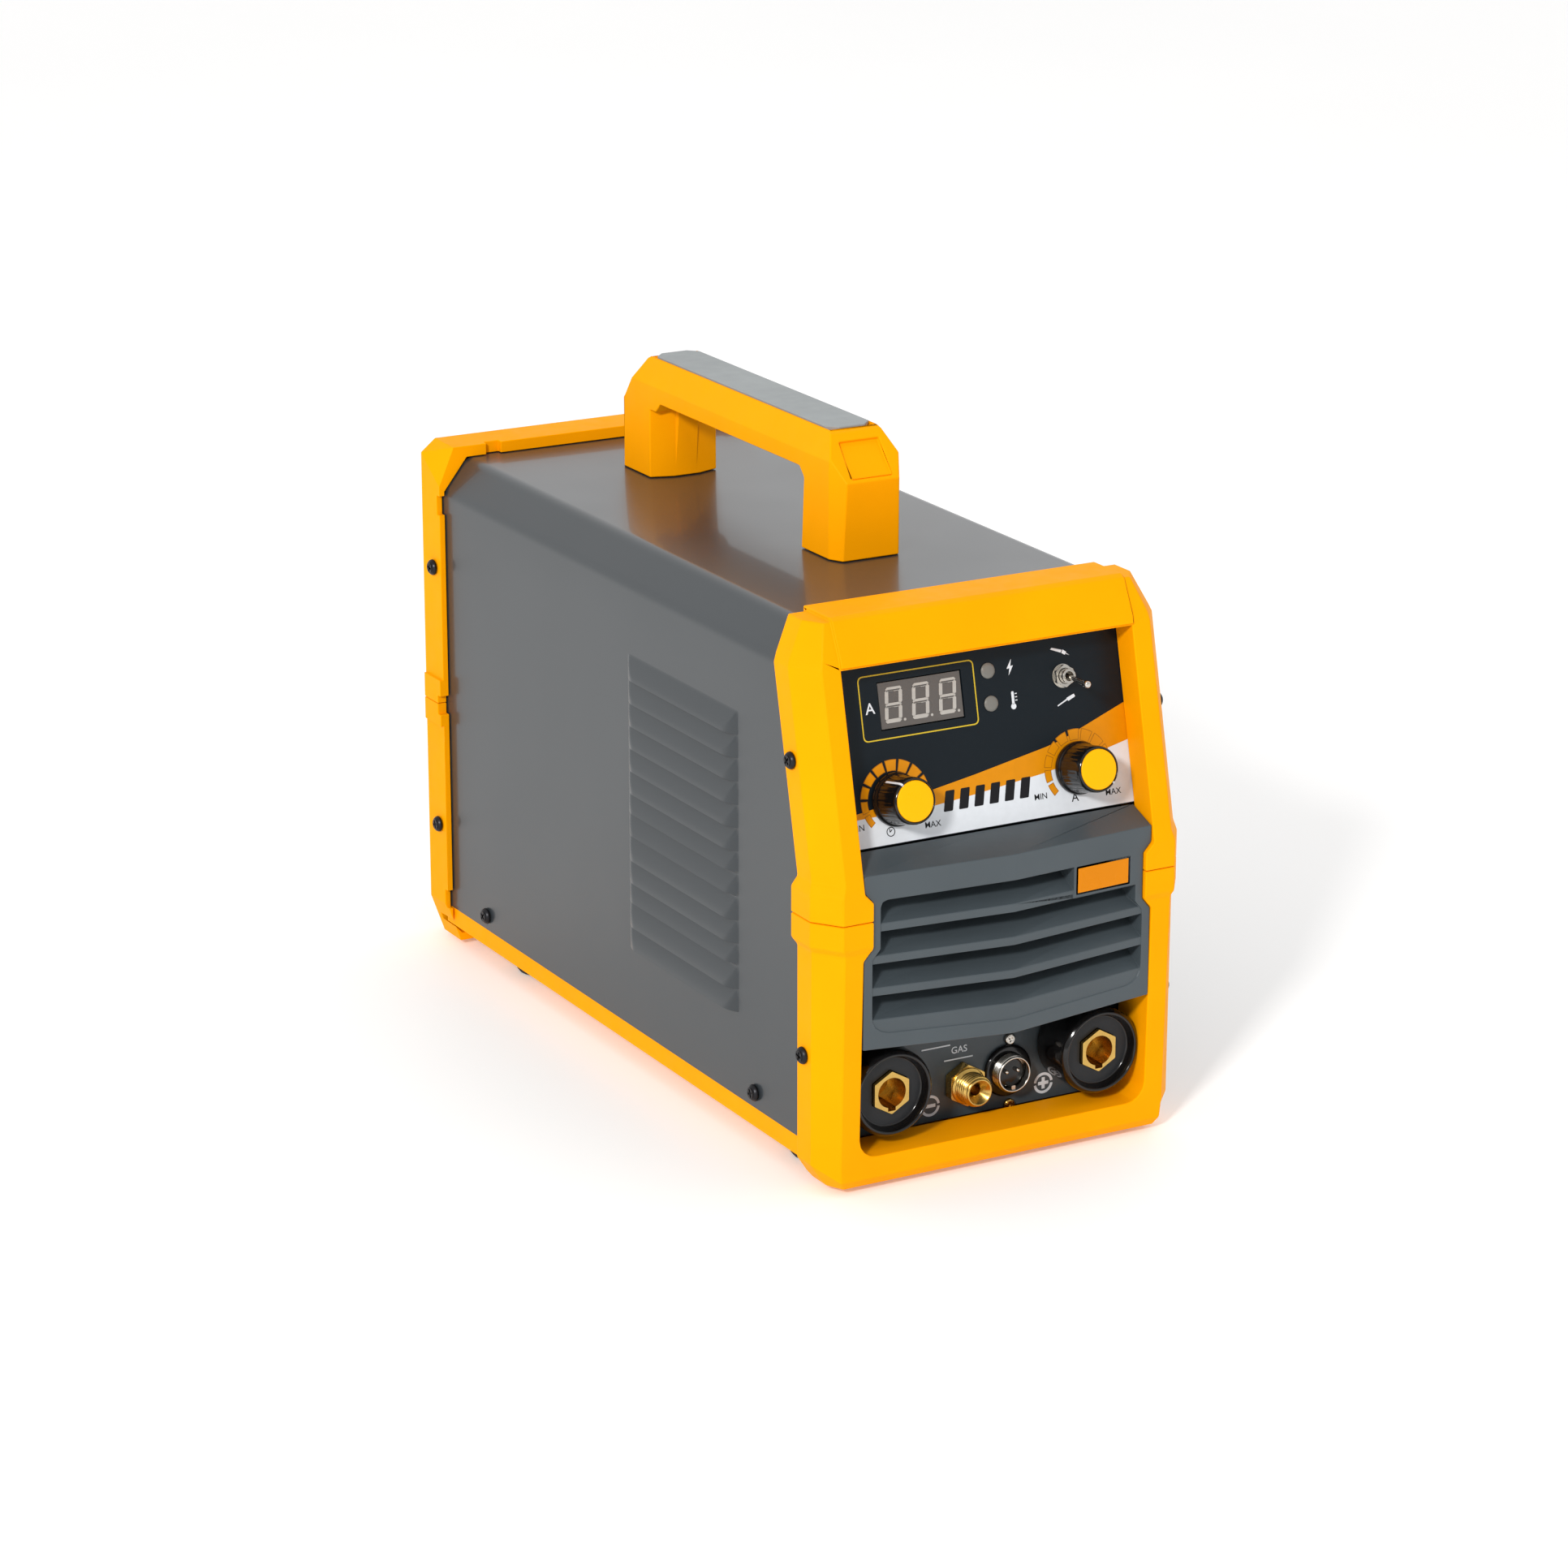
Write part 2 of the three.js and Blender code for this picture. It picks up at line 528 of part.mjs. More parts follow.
function grillePart() {
  const { side, back, bottom, top, pitch, slat, lip } = grille;
  const fitted = solid(alongY(openingOutline(-0.4), -200, -150));
  const block = solid(vee(-175, [
    [side, bottom], [back, bottom], [back, top - 4], [-170.4, 136.3], [side, top],
  ]));
  const field = solid(alongY(slatField(), -200, -150));
  const hollow = solid(box(-62.4, 62.4, -168, -150, 62.2, 123));
  let body = cut(block, field, hollow);
  for (let i = 0; i < 4; i += 1) {
    const z = slat + i * pitch;
    const low = i === 0 ? 64.4 : z - lip;
    body = body.add(solid(vee(-178, [
      [side + 0.5, low], [-171, i === 0 ? low : z + 3.6], [-171, z + 7.3], [side + 0.5, z],
    ])).intersect(solid(box(-63, 63, -200, -150, 58, 125))));
  }
  const { x, z, half, tall } = badge;
  const mask = solid(box(x - half - 1.8, 60.5, -200, -150, z - tall - 1.7, 121.5));
  const face = solid(vee(-178, [[side, 100], [-176, 100], [-176, 125], [side, 125]]));
  const badgeSeat = solid(box(x - half - 0.5, x + half + 0.5, -200, -150, z - tall - 0.5, z + tall + 0.5));
  const seatDepth = solid(vee(-190, [[-195, 100], [side + 0.9, 100], [side + 0.9, 125], [-195, 125]]));
  body = body.add(face.intersect(mask));
  body = cut(body, badgeSeat.intersect(badgeCutter(seatDepth)));
  add('grille', body.intersect(fitted), 'charcoal');
  const slope = Math.atan2(side - grille.ridge, opening.half);
  const front = side + (grille.ridge - side) * (1 - x / opening.half);
  const plate = box(-half, half, -0.1, 0.6, -tall, tall).rotateZ(slope);
  add('grille_badge', solid(plate.translate(x, front, z)), 'yellow');
}

// The region in front of a plane 1.0 mm behind the sloping front face, right of the ridge.
function badgeCutter() {
  const y = (x) => grille.side + 1.1 - (grille.side - grille.ridge) * (1 - x / opening.half);
  return solid(alongZ([[20, y(20)], [20, -210], [64, -210], [64, y(64)]].reverse(), 100, 125));
}

// ---- connector panel and its connectors ----
function connectorPanel() {
  const { y, thick, top } = backPlane;
  const plate = solid(box(-75, 75, y, y + thick, 12.9, top));
  const vents = [];
  for (let i = 0; i < 5; i += 1) vents.push(solid(box(-58, 58, y - 5, y + 9, 68 + 11 * i, 74 + 11 * i)));
  const holes = [
    barY(13.3, y - 5, y + 9, -socket.x, socket.z), barY(13.3, y - 5, y + 9, socket.x, socket.z),
    barY(8, y - 5, y + 9, torch.x, torch.z, 16), barY(5.5, y - 5, y + 9, outlet.x, outlet.z, 16),
  ].map(solid);
  add('connector_panel', cut(plate, ...vents, ...holes), 'charcoal');
}

function weldSocket(name, x) {
  const { z, radius, front, bore, hex } = socket;
  const face = backPlane.y - 0.3;
  const deep = face - front;
  const housing = solid(turned([
    [0, -16], [13, -16], [13, 0], [radius - 0.8, 0], [radius, 1.2], [radius, deep - 2],
    [radius - 1.6, deep], [radius - 3.4, deep], [radius - 6, deep - 3.4],
    [hex + 1, deep - 3.4], [0, deep - 3.4],
  ], x, face, z, 28));
  const seat = solid(alongY(shifted(polygon(hex + 0.35, 6, Math.PI / 2), x, z), -200, -130));
  add(`${name}_housing`, cut(housing, seat), 'black');
  const bar = solid(alongY(shifted(polygon(hex, 6, Math.PI / 2), x, z), front + 2, -138));
  const hole = solid(barY(bore, -200, -152, x, z, 24));
  const key = solid(box(x - 1.6, x + 1.6, -200, -170, z - bore - 1.5, z));
  add(`${name}_insert`, cut(bar, hole, key), 'brass');
}

function gasOutlet() {
  const { x, z, thread, front, bore } = outlet;
  const face = backPlane.y - 0.3;
  const deep = face - front;
  const hexNut = solid(alongY(shifted(polygon(9.4, 6, 0), x, z), face - 4.5, face));
  const stem = solid(turned([
    [0, -18], [4.6, -18], [4.6, 0], [thread, 0], [thread, deep - 0.8], [thread - 0.8, deep], [0, deep],
  ], x, face, z, 24));
  const mouth = [[0, deep - 4], [bore, deep - 4], [5.4, deep + 0.5], [0, deep + 0.5]];
  const cone = solid(turned(mouth, x, face, z, 24));
  add('gas_outlet', cut(hexNut.add(stem), cone, solid(barY(bore, -200, -130, x, z, 12))), 'brass');
}

function torchSocket() {
  const { x, z, flange, barrel, front } = torch;
  const face = backPlane.y - 0.3;
  const deep = face - front;
  const shell = solid(turned([
    [0, -9], [7.6, -9], [7.6, 0], [flange, 0], [flange, 2], [barrel, 2], [barrel, deep - 0.4],
    [barrel - 0.4, deep], [6.6, deep], [6.6, -6], [0, -6],
  ], x, face, z, 28));
  add('torch_socket_shell', shell, 'nickel');
  const core = solid(turned([[0, -5.7], [6.2, -5.7], [6.2, 0.6], [0, 0.6]], x, face, z, 20));
  const pins = [-2.6, 2.6].map((dx) => solid(barY(1, face - 5.6, face + 1, x + dx, z + 1, 10)));
  add('torch_socket_core', join(core, ...pins), 'black');
}

// ---- rear panel, fan, switch and inlets ----
function rearPanel() {
  const { y, thick, half, bottom, top } = backPanel;
  const plate = solid(box(-half, half, y, y + thick, bottom, top));
  const corners = solid(alongY([
    [half, bottom], [half, 207], [66, top], [-66, top], [-half, 207], [-half, bottom],
  ], y - 1, y + thick + 1));
  const holes = [
    barY(fan.duct, y - 5, y + 9, 0, fan.z, 36), barY(4.4, y - 5, y + 9, inlet.x, inlet.z, 12),
    barY(gland.radius - 1.6, y - 5, y + 9, gland.x, gland.z, 16),
    box(power.x - power.wide / 2 - 0.4, power.x + power.wide / 2 + 0.4, y - 5, y + 9,
      power.z - power.tall / 2 - 0.4, power.z + power.tall / 2 + 0.4),
  ].map(solid);
  add('rear_panel', cut(plate.intersect(corners), ...holes), 'charcoal');
}

function fanParts() {
  const { z, half, front, rear: back, duct, rotor, hub } = fan;
  let body = cut(solid(box(-half, half, front, back, z - half, z + half)),
    solid(barY(duct, front - 1, back + 1, 0, z, 40)));
  const motor = solid(barY(hub - 1, front, front + 5, 0, z, 24));
  body = body.add(motor);
  for (let i = 0; i < 3; i += 1) {
    const strut = box(-2, 2, front, front + 4, 10, duct + 1).rotateY((i * 2 * Math.PI) / 3 + 0.4);
    body = body.add(solid(strut.translate(0, 0, z)));
  }
  add('fan_frame', body, 'black');
  let blades = solid(barY(hub, front + 5.6, back - 2, 0, z, 24));
  for (let i = 0; i < 7; i += 1) {
    const blade = box(-0.9, 0.9, -7.5, 7.5, hub - 2, rotor).rotateZ(0.75);
    blades = blades.add(solid(blade.translate(0, (front + back) / 2 + 2.2, 0)
      .rotateY((i * 2 * Math.PI) / 7).translate(0, 0, z)));
  }
  add('fan_rotor', blades, 'black');
}

function fanGuard() {
  const y = backPanel.y + backPanel.thick + 0.3;
  const ring = (inner, outer) => solid(turned([
    [inner, -2.4], [outer, -2.4], [outer, 0], [inner, 0], [inner, -2.4],
  ], 0, y, fan.z, 24));
  let body = ring(40.5, 45);
  for (const radius of [16, 28]) body = body.add(ring(radius, radius + 2.4));
  body = body.add(solid(barY(7, y, y + 2.4, 0, fan.z, 20)));
  for (let i = 0; i < 4; i += 1) {
    const arm = box(-1.4, 1.4, y, y + 2.4, 0, 42).rotateY(Math.PI / 4 + (i * Math.PI) / 2);
    body = body.add(solid(arm.translate(0, 0, fan.z)));
  }
  add('fan_guard', body, 'black');
}

function powerSwitch() {
  const { x, z, wide, tall, wellHalf, wellTall, rockerHalf } = power;
  const y = backPanel.y + backPanel.thick + 0.3;
  const [halfWide, halfTall] = [wide / 2 + 2.5, tall / 2 + 2.5];
  const flange = solid(box(x - halfWide, x + halfWide, y, y + 2, z - halfTall, z + halfTall));
  const can = solid(box(x - wide / 2, x + wide / 2, y - 28, y + 1, z - tall / 2, z + tall / 2));
  const well = solid(box(x - wellHalf, x + wellHalf, y - 12, y + 5, z - wellTall, z + wellTall));
  add('power_switch_body', flange.add(can).subtract(well), 'black');
  const rocker = alongX([
    [y - 8, z - 10], [y + 0.6, z - 11.6], [y + 1.6, z], [y + 4.6, z + 11.6], [y - 4, z + 10],
  ].reverse(), x - rockerHalf, x + rockerHalf);
  add('power_switch_rocker', solid(rocker), 'black');
}

function rearFittings() {
  const y = backPanel.y + backPanel.thick + 0.3;
  const { x, z, radius, bore } = gland;
  const nut = alongY(shifted(polygon(radius + 2, 6, 0), x, z), y, y + 5);
  const neck = solid(barY(radius - 2, y - 14, y + 1, x, z, 20));
  const cap = solid(barY(radius, y + 0.5, y + 12, x, z, 20));
  const way = solid(barY(bore, y - 30, y + 30, x, z, 16));
  add('cable_gland', cut(join(solid(nut), neck, cap), way), 'black');
  const r = inlet.radius;
  const reach = inlet.tip - y;
  const nipple = new THREE.LatheGeometry([
    [0, -16], [r, -16], [r, 4], [r + 1, 8], [r - 0.4, 12], [r + 0.8, 16], [r - 0.6, reach], [0, reach],
  ].map(([radius_, along]) => new THREE.Vector2(radius_, along)), 20).translate(inlet.x, y, inlet.z);
  const seat = solid(alongY(shifted(polygon(8, 6, 0), inlet.x, inlet.z), y, y + 4));
  const body = join(solid(nipple), seat).subtract(solid(barY(1.8, 140, 200, inlet.x, inlet.z, 12)));
  add('gas_inlet', body, 'brass');
}

// ---- inside ----
function insideParts() {
  const { left, right, front, rear: back, z } = board;
  let pcb = solid(box(left, right, front, back, z, z + 1.6));
  for (const x of [left + 8, right - 8]) {
    for (const y of [front + 8, back - 8]) {
      pcb = pcb.add(solid(box(x - 4, x + 4, y - 4, y + 4, 11.5, z + 0.5)));
    }
  }
  for (const x of [-24, 14]) {
    pcb = pcb.add(solid(turnedUp([[0, 0], [16, 0], [16, 44], [15, 46], [0, 46]], x, 100, z + 1, 20)));
  }
  add('power_board', pcb, 'board');
  const comb = [[-46, 32], [46, 32]];
  for (let i = 8; i >= 0; i -= 1) {
    const x = -46 + i * 11.25;
    comb.push([x + 2, 92], [x, 92]);
    if (i > 0) comb.push([x, 38], [x - 9.25, 38]);
  }
  add('heat_sink', solid(alongY(comb, -30, 78)), 'alloy');
  const core = solid(box(-50, 0, -104, -50, 32, 74));
  const winding = solid(box(-56, 6, -96, -58, 40, 66));
  add('main_transformer', core.add(winding), 'copper');
  add('output_choke', solid(turnedUp([[11, 0], [25, 0], [27, 3], [27, 19], [25, 22], [11, 22], [11, 0]],
    35, -78, 32, 28)), 'copper');
  const valve = solid(box(-60, -36, 118.5, 150, 22, 45.5)).add(solid(box(-57, -39, 120, 136, 44, 66)));
  add('gas_valve', cut(valve, solid(barY(4.3, 145, 153, inlet.x, inlet.z, 12))), 'nickel');
}

function gasHose() {
  const route = new THREE.CatmullRomCurve3([
    [-56.5, 117.6, 26.5], [-57.4, 112, 25.8], [-66, 84, 21], [-66, 0, 20], [-66, -70, 20],
    [-64, -104, 20], [-48, -122, 21], [-24, -126, 24], [-9, -127, 27.2], [outlet.x, -137.5, outlet.z],
  ].map((point) => new THREE.Vector3(...point)), false, 'centripetal');
  const section = shapeOf(polygon(3, 8));
  const tube = new THREE.ExtrudeGeometry(section, { steps: 32, extrudePath: route, bevelEnabled: false });
  add('gas_hose', tube, 'hose');
}

// ---- assembly ----
frontFrame();
rearFrame();
coverShell();
baseTray();
feet();
handleParts();
const controls = panelGroup();
controlPanel(controls);
knobParts(controls, 'gas_knob', -knob.x);
knobParts(controls, 'current_knob', knob.x);
modeSwitch(controls);
displayParts(controls);
controlBoard(controls);
grillePart();
connectorPanel();
weldSocket('negative_socket', -socket.x);
weldSocket('positive_socket', socket.x);
gasOutlet();
torchSocket();
rearPanel();
fanParts();
fanGuard();
powerSwitch();
rearFittings();
insideParts();
gasHose();
screws();

export default machine;
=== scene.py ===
"""A portable TIG welding machine, dressed around its CAD frame.

Lengths are in millimetres in every table and function below, and each mesh is scaled to metres
as it is finished. The machine's front faces -Y, +X is right seen from the front, and +Z is up.
"""

from math import cos, hypot, pi, radians, sin, tan

import bmesh
import bpy
from mathutils import Matrix, Vector


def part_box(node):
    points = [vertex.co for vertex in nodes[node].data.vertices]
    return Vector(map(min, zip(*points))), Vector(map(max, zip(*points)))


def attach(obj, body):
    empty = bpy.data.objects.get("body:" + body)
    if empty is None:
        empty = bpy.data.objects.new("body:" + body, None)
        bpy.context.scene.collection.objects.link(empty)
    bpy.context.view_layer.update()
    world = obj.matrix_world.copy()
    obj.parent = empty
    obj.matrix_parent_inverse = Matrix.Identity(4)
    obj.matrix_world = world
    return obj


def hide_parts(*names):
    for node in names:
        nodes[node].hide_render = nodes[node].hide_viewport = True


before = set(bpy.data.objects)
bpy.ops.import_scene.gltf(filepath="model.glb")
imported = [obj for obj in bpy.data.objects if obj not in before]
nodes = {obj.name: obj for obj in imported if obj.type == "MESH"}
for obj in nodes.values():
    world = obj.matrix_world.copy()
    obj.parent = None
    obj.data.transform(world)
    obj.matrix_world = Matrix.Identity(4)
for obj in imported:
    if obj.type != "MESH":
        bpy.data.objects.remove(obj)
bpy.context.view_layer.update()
MM = 0.001

# ---- camera ----
VIEW = {"azimuth": 29.1, "elevation": 17.71, "distance": 2.07, "aim": (0.0022, 0.0, 0.1067), "lens": 113.2}


def make_camera():
    data = bpy.data.cameras.new("camera")
    data.lens = VIEW["lens"]
    data.sensor_width = 36
    data.clip_start = 0.05
    data.clip_end = 60
    turn, rise = radians(VIEW["azimuth"]), radians(VIEW["elevation"])
    forward = Vector((sin(turn) * cos(rise), cos(turn) * cos(rise), -sin(rise)))
    camera = bpy.data.objects.new("camera", data)
    camera.location = Vector(VIEW["aim"]) - forward * VIEW["distance"]
    camera.rotation_euler = forward.to_track_quat("-Z", "Y").to_euler()
    bpy.context.scene.collection.objects.link(camera)
    bpy.context.scene.camera = camera


make_camera()

# ---- sizes shared by several pieces ----
PANEL_TILT = 13
PANEL = Matrix.Translation((0, -169.9, 136.7)) @ Matrix.Rotation(radians(-PANEL_TILT), 4, "X")
KNOB = {"x": 41.5, "up": 17.4, "skirt": 10.6, "tall": 16.5, "cap": 8.05}
TOGGLE = {"x": 39.0, "up": 54.2}
LAMP = {"x": 5.6, "power": 60.8, "overheat": 47.9}
DISPLAY = {"left": -43.5, "right": -6.7, "low": 44.6, "high": 62.6}
CONNECTOR_FACE = -157.0
SOCKET = {"x": 47.8, "z": 37.3, "radius": 17.8, "front": -178.4, "bore": 6.2, "hex": 8.9}
TORCH = {"x": 16.3, "z": 28.6, "front": -163.8}
OUTLET = {"x": -4.3, "z": 27.2, "front": -171.0, "radius": 6.5, "bore": 2.2}
COVER = {
    "half": 79.0, "crease": 208.5, "top": 222.5, "top_half": 68.0, "bottom": 18.5, "sheet": 1.0,
    "front": -170.4, "rear": 164.0, "lean_from": 128.5,
}
LOUVER = {
    "front": -109.0, "rear": -16.0, "count": 13, "pitch": 9.6, "lowest": 54.6, "tall": 9.45, "reach": 3.1,
    "end": 9.5, "blend": 0.05,
}
SCREW_RADIUS = 3.5


# ---- materials ----
class Surface:
    """A Principled material whose grain, mottling and roughness come from object-space noise."""

    def __init__(self, name, colour, roughness, metallic=0.0, coat=0.0, coat_roughness=0.1, shine=0.5):
        self.material = bpy.data.materials.new(name)
        self.material.use_nodes = True
        self.tree = self.material.node_tree
        self.shader = self.tree.nodes["Principled BSDF"]
        self.colour = (*colour, 1.0)
        self.shader.inputs["Base Color"].default_value = self.colour
        self.shader.inputs["Roughness"].default_value = roughness
        self.shader.inputs["Metallic"].default_value = metallic
        self.shader.inputs["Specular IOR Level"].default_value = shine
        self.shader.inputs["Coat Weight"].default_value = coat
        self.shader.inputs["Coat Roughness"].default_value = coat_roughness
        self.place = self.tree.nodes.new("ShaderNodeTexCoord").outputs["Object"]
        self.last_bump = None

    def noise(self, scale, detail=3.0, stretch=None):
        node = self.tree.nodes.new("ShaderNodeTexNoise")
        node.inputs["Scale"].default_value = scale
        node.inputs["Detail"].default_value = detail
        source = self.place
        if stretch:
            mapping = self.tree.nodes.new("ShaderNodeMapping")
            mapping.inputs["Scale"].default_value = stretch
            self.tree.links.new(source, mapping.inputs["Vector"])
            source = mapping.outputs["Vector"]
        self.tree.links.new(source, node.inputs["Vector"])
        return node.outputs["Fac"]

    def mottle(self, scale, amount, detail=3.0):
        """The colour drifts up and down by the given share."""
        ramp = self.tree.nodes.new("ShaderNodeValToRGB")
        low, high = ramp.color_ramp.elements
        low.position, high.position = 0.3, 0.7
        low.color = (*[c * (1 - amount) for c in self.colour[:3]], 1)
        high.color = (*[min(1.0, c * (1 + amount)) for c in self.colour[:3]], 1)
        self.tree.links.new(self.noise(scale, detail), ramp.inputs["Fac"])
        self.tree.links.new(ramp.outputs["Color"], self.shader.inputs["Base Color"])
        return self

    def polish(self, scale, low, high, detail=4.0, stretch=None):
        """Roughness wanders between two values."""
        spread = self.tree.nodes.new("ShaderNodeMapRange")
        spread.inputs["From Min"].default_value = 0.3
        spread.inputs["From Max"].default_value = 0.7
        spread.inputs["To Min"].default_value = low
        spread.inputs["To Max"].default_value = high
        self.tree.links.new(self.noise(scale, detail, stretch), spread.inputs["Value"])
        self.tree.links.new(spread.outputs["Result"], self.shader.inputs["Roughness"])
        return self

    def grain(self, scale, depth, strength=1.0, detail=2.0, stretch=None):
        """Adds a bump layer; depth is in metres."""
        bump = self.tree.nodes.new("ShaderNodeBump")
        bump.inputs["Strength"].default_value = strength
        bump.inputs["Distance"].default_value = depth
        self.tree.links.new(self.noise(scale, detail, stretch), bump.inputs["Height"])
        if self.last_bump:
            self.tree.links.new(self.last_bump, bump.inputs["Normal"])
        self.last_bump = bump.outputs["Normal"]
        self.tree.links.new(self.last_bump, self.shader.inputs["Normal"])
        return self


def moulded(name, colour, roughness, grain=2600, depth=0.00002, drift=0.03, shine=0.3):
    """Injection-moulded plastic: fine spark-eroded grain and faint flow mottling."""
    surface = Surface(name, colour, roughness, shine=shine)
    surface.mottle(28, drift).polish(160, roughness - 0.05, roughness + 0.07)
    return surface.grain(grain, depth, 0.5).material


def turned_metal(name, colour, low, high, scale=900):
    surface = Surface(name, colour, low, metallic=1.0)
    surface.mottle(240, 0.06, 4.0).polish(420, low, high)
    return surface.grain(scale, 0.000006, 0.3, 3.0, (1, 14, 1)).material


def ink(name, colour, roughness=0.34):
    surface = Surface(name, colour, roughness, shine=0.2)
    surface.mottle(320, 0.025).polish(500, roughness - 0.05, roughness + 0.06)
    return surface.grain(5200, 0.000006, 0.4).material


def paint(name, colour):
    """Powder paint on sheet steel: orange peel, a gloss coat and faint wipe marks."""
    surface = Surface(name, colour, 0.3, coat=0.3, coat_roughness=0.06, shine=0.36)
    surface.mottle(9, 0.035, 2.0).polish(14, 0.28, 0.33, 2.0)
    return surface.grain(900, 0.000002, 0.3).material


amber = moulded("amber_plastic", (0.97, 0.36, 0.0), 0.46, shine=0.03)
charcoal = moulded("charcoal_plastic", (0.058, 0.073, 0.083), 0.36, grain=2300, depth=0.000022,
                   drift=0.05, shine=0.4)
black = moulded("black_plastic", (0.0045, 0.0042, 0.0045), 0.13, grain=1800, depth=0.000005,
                drift=0.08, shine=0.45)
satin_black = moulded("satin_black_plastic", (0.012, 0.013, 0.015), 0.38, drift=0.08)
cap_yellow = moulded("cap_yellow", (1.0, 0.44, 0.0), 0.3, grain=3000, depth=0.000006, drift=0.02, shine=0.12)
badge_orange = moulded("badge_orange", (0.68, 0.215, 0.0), 0.3, depth=0.000006, shine=0.12)
pad_grey = moulded("pad_grey", (0.29, 0.31, 0.315), 0.55, grain=2000, depth=0.00003, drift=0.05)
rubber = moulded("rubber", (0.018, 0.018, 0.019), 0.7, grain=1500, depth=0.00005, drift=0.12)
lens = moulded("display_lens", (0.105, 0.095, 0.088), 0.3, grain=3000, depth=0.000004, drift=0.04)
lamp_glass = moulded("lamp_lens", (0.17, 0.165, 0.15), 0.34, grain=2600, depth=0.00001, drift=0.08)
hose_blue = moulded("hose_rubber", (0.03, 0.04, 0.09), 0.5)
steel_paint = paint("painted_steel", (0.026, 0.032, 0.037))
brass = turned_metal("brass", (0.62, 0.40, 0.11), 0.18, 0.3)
nickel = turned_metal("nickel", (0.62, 0.59, 0.54), 0.14, 0.26)
alloy = turned_metal("alloy", (0.58, 0.59, 0.61), 0.3, 0.5)
copper = moulded("copper_winding", (0.42, 0.13, 0.05), 0.35, grain=900, depth=0.0001, drift=0.12)
board_green = moulded("circuit_board", (0.015, 0.12, 0.05), 0.4, drift=0.2)
black_oxide = turned_metal("black_oxide", (0.03, 0.03, 0.033), 0.3, 0.48)
ink_navy = ink("ink_navy", (0.0045, 0.0085, 0.0125), 0.36)
ink_orange = ink("ink_orange", (0.66, 0.24, 0.0))
ink_deep_orange = ink("ink_deep_orange", (0.34, 0.12, 0.004))
ink_white = ink("ink_white", (0.68, 0.71, 0.75))
ink_black = ink("ink_black", (0.008, 0.008, 0.01))
ink_gold = ink("ink_gold", (0.60, 0.43, 0.03))
ink_segment = ink("ink_segment", (0.42, 0.40, 0.37), 0.4)


# ---- mesh helpers ----
def finish_mesh(name, mesh, material, place=None, sharp=35):
    """Places a millimetre mesh, welds it, turns its faces outward and links it as an object in metres."""
    if place is not None:
        mesh.transform(place)
    mesh.transform(Matrix.Scale(MM, 4))
    work = bmesh.new()
    work.from_mesh(mesh)
    bmesh.ops.remove_doubles(work, verts=work.verts, dist=2e-7)
    bmesh.ops.dissolve_degenerate(work, edges=work.edges, dist=1e-8)
    bmesh.ops.recalc_face_normals(work, faces=work.faces)
    work.to_mesh(mesh)
    work.free()
    mesh.shade_smooth()
    mesh.set_sharp_from_angle(angle=radians(sharp))
    mesh.materials.clear()
    mesh.materials.append(material)
    obj = bpy.data.objects.new(name, mesh)
    bpy.context.scene.collection.objects.link(obj)
    return obj


def from_faces(name, points, faces, material, place=None, sharp=35):
    mesh = bpy.data.meshes.new(name)
    mesh.from_pydata(points, [], faces)
    return finish_mesh(name, mesh, material, place, sharp)


def soften(obj, width, segments=2, angle=30):
    """A small rounded edge on every corner sharper than the angle."""
    bevel = obj.modifiers.new("edge_round", "BEVEL")
    bevel.width = width * MM
    bevel.segments = segments
    bevel.limit_method = "ANGLE"
    bevel.angle_limit = radians(angle)
    bevel.harden_normals = True
    return obj


def apply_modifiers(obj):
    bpy.context.view_layer.update()
    evaluated = obj.evaluated_get(bpy.context.evaluated_depsgraph_get())
    mesh = bpy.data.meshes.new_from_object(evaluated)
    obj.modifiers.clear()
    obj.data = mesh


def filleted(points, radius, steps=4, closed=False):
    """The same polyline with each corner rounded by a short curve."""
    count = len(points)
    result = []
    for i, corner in enumerate(points):
        if not closed and i in (0, count - 1):
            result.append(corner)
            continue
        before, after = points[i - 1], points[(i + 1) % count]
        back = hypot(before[0] - corner[0], before[1] - corner[1])
        ahead = hypot(after[0] - corner[0], after[1] - corner[1])
        reach = min(radius, back * 0.48, ahead * 0.48)
        start = [corner[k] + (before[k] - corner[k]) * reach / back for k in (0, 1)]
        end = [corner[k] + (after[k] - corner[k]) * reach / ahead for k in (0, 1)]
        for step in range(steps + 1):
            t = step / steps
            result.append(tuple(
                (1 - t) ** 2 * start[k] + 2 * t * (1 - t) * corner[k] + t * t * end[k] for k in (0, 1)))
    return result


def revolve(name, profile, material, place, steps=64, radius_at=None, sharp=35):
    """A profile of (radius, height) points turned about the outward axis, -Y."""
    points, faces = [], []
    for radius, height in profile:
        for k in range(steps):
            angle = 2 * pi * k / steps
            at = radius_at(radius, height, angle) if radius_at and radius > 0 else radius
            points.append((at * cos(angle), -height, at * sin(angle)))
    for i in range(len(profile) - 1):
        for k in range(steps):
            a, b = i * steps + k, i * steps + (k + 1) % steps
            faces.append((a, b, b + steps, a + steps))
    return from_faces(name, points, faces, material, place, sharp)


UPRIGHT = Matrix.Rotation(radians(90), 4, "X")


def plate(name, loops, low, high, material, place=None, sharp=35):
    """A flat shape of closed (x, z) loops, holes included, from `low` to `high` outward along -Y."""
    curve = bpy.data.curves.new(name, "CURVE")
    curve.dimensions = "2D"
    curve.fill_mode = "BOTH"
    curve.extrude = (high - low) / 2
    for loop in loops:
        spline = curve.splines.new("POLY")
        spline.points.add(len(loop) - 1)
        for point, (x, z) in zip(spline.points, loop):
            point.co = (x, z, 0, 1)
        spline.use_cyclic_u = True
    return meshed(name, curve, (low + high) / 2, material, place, sharp)


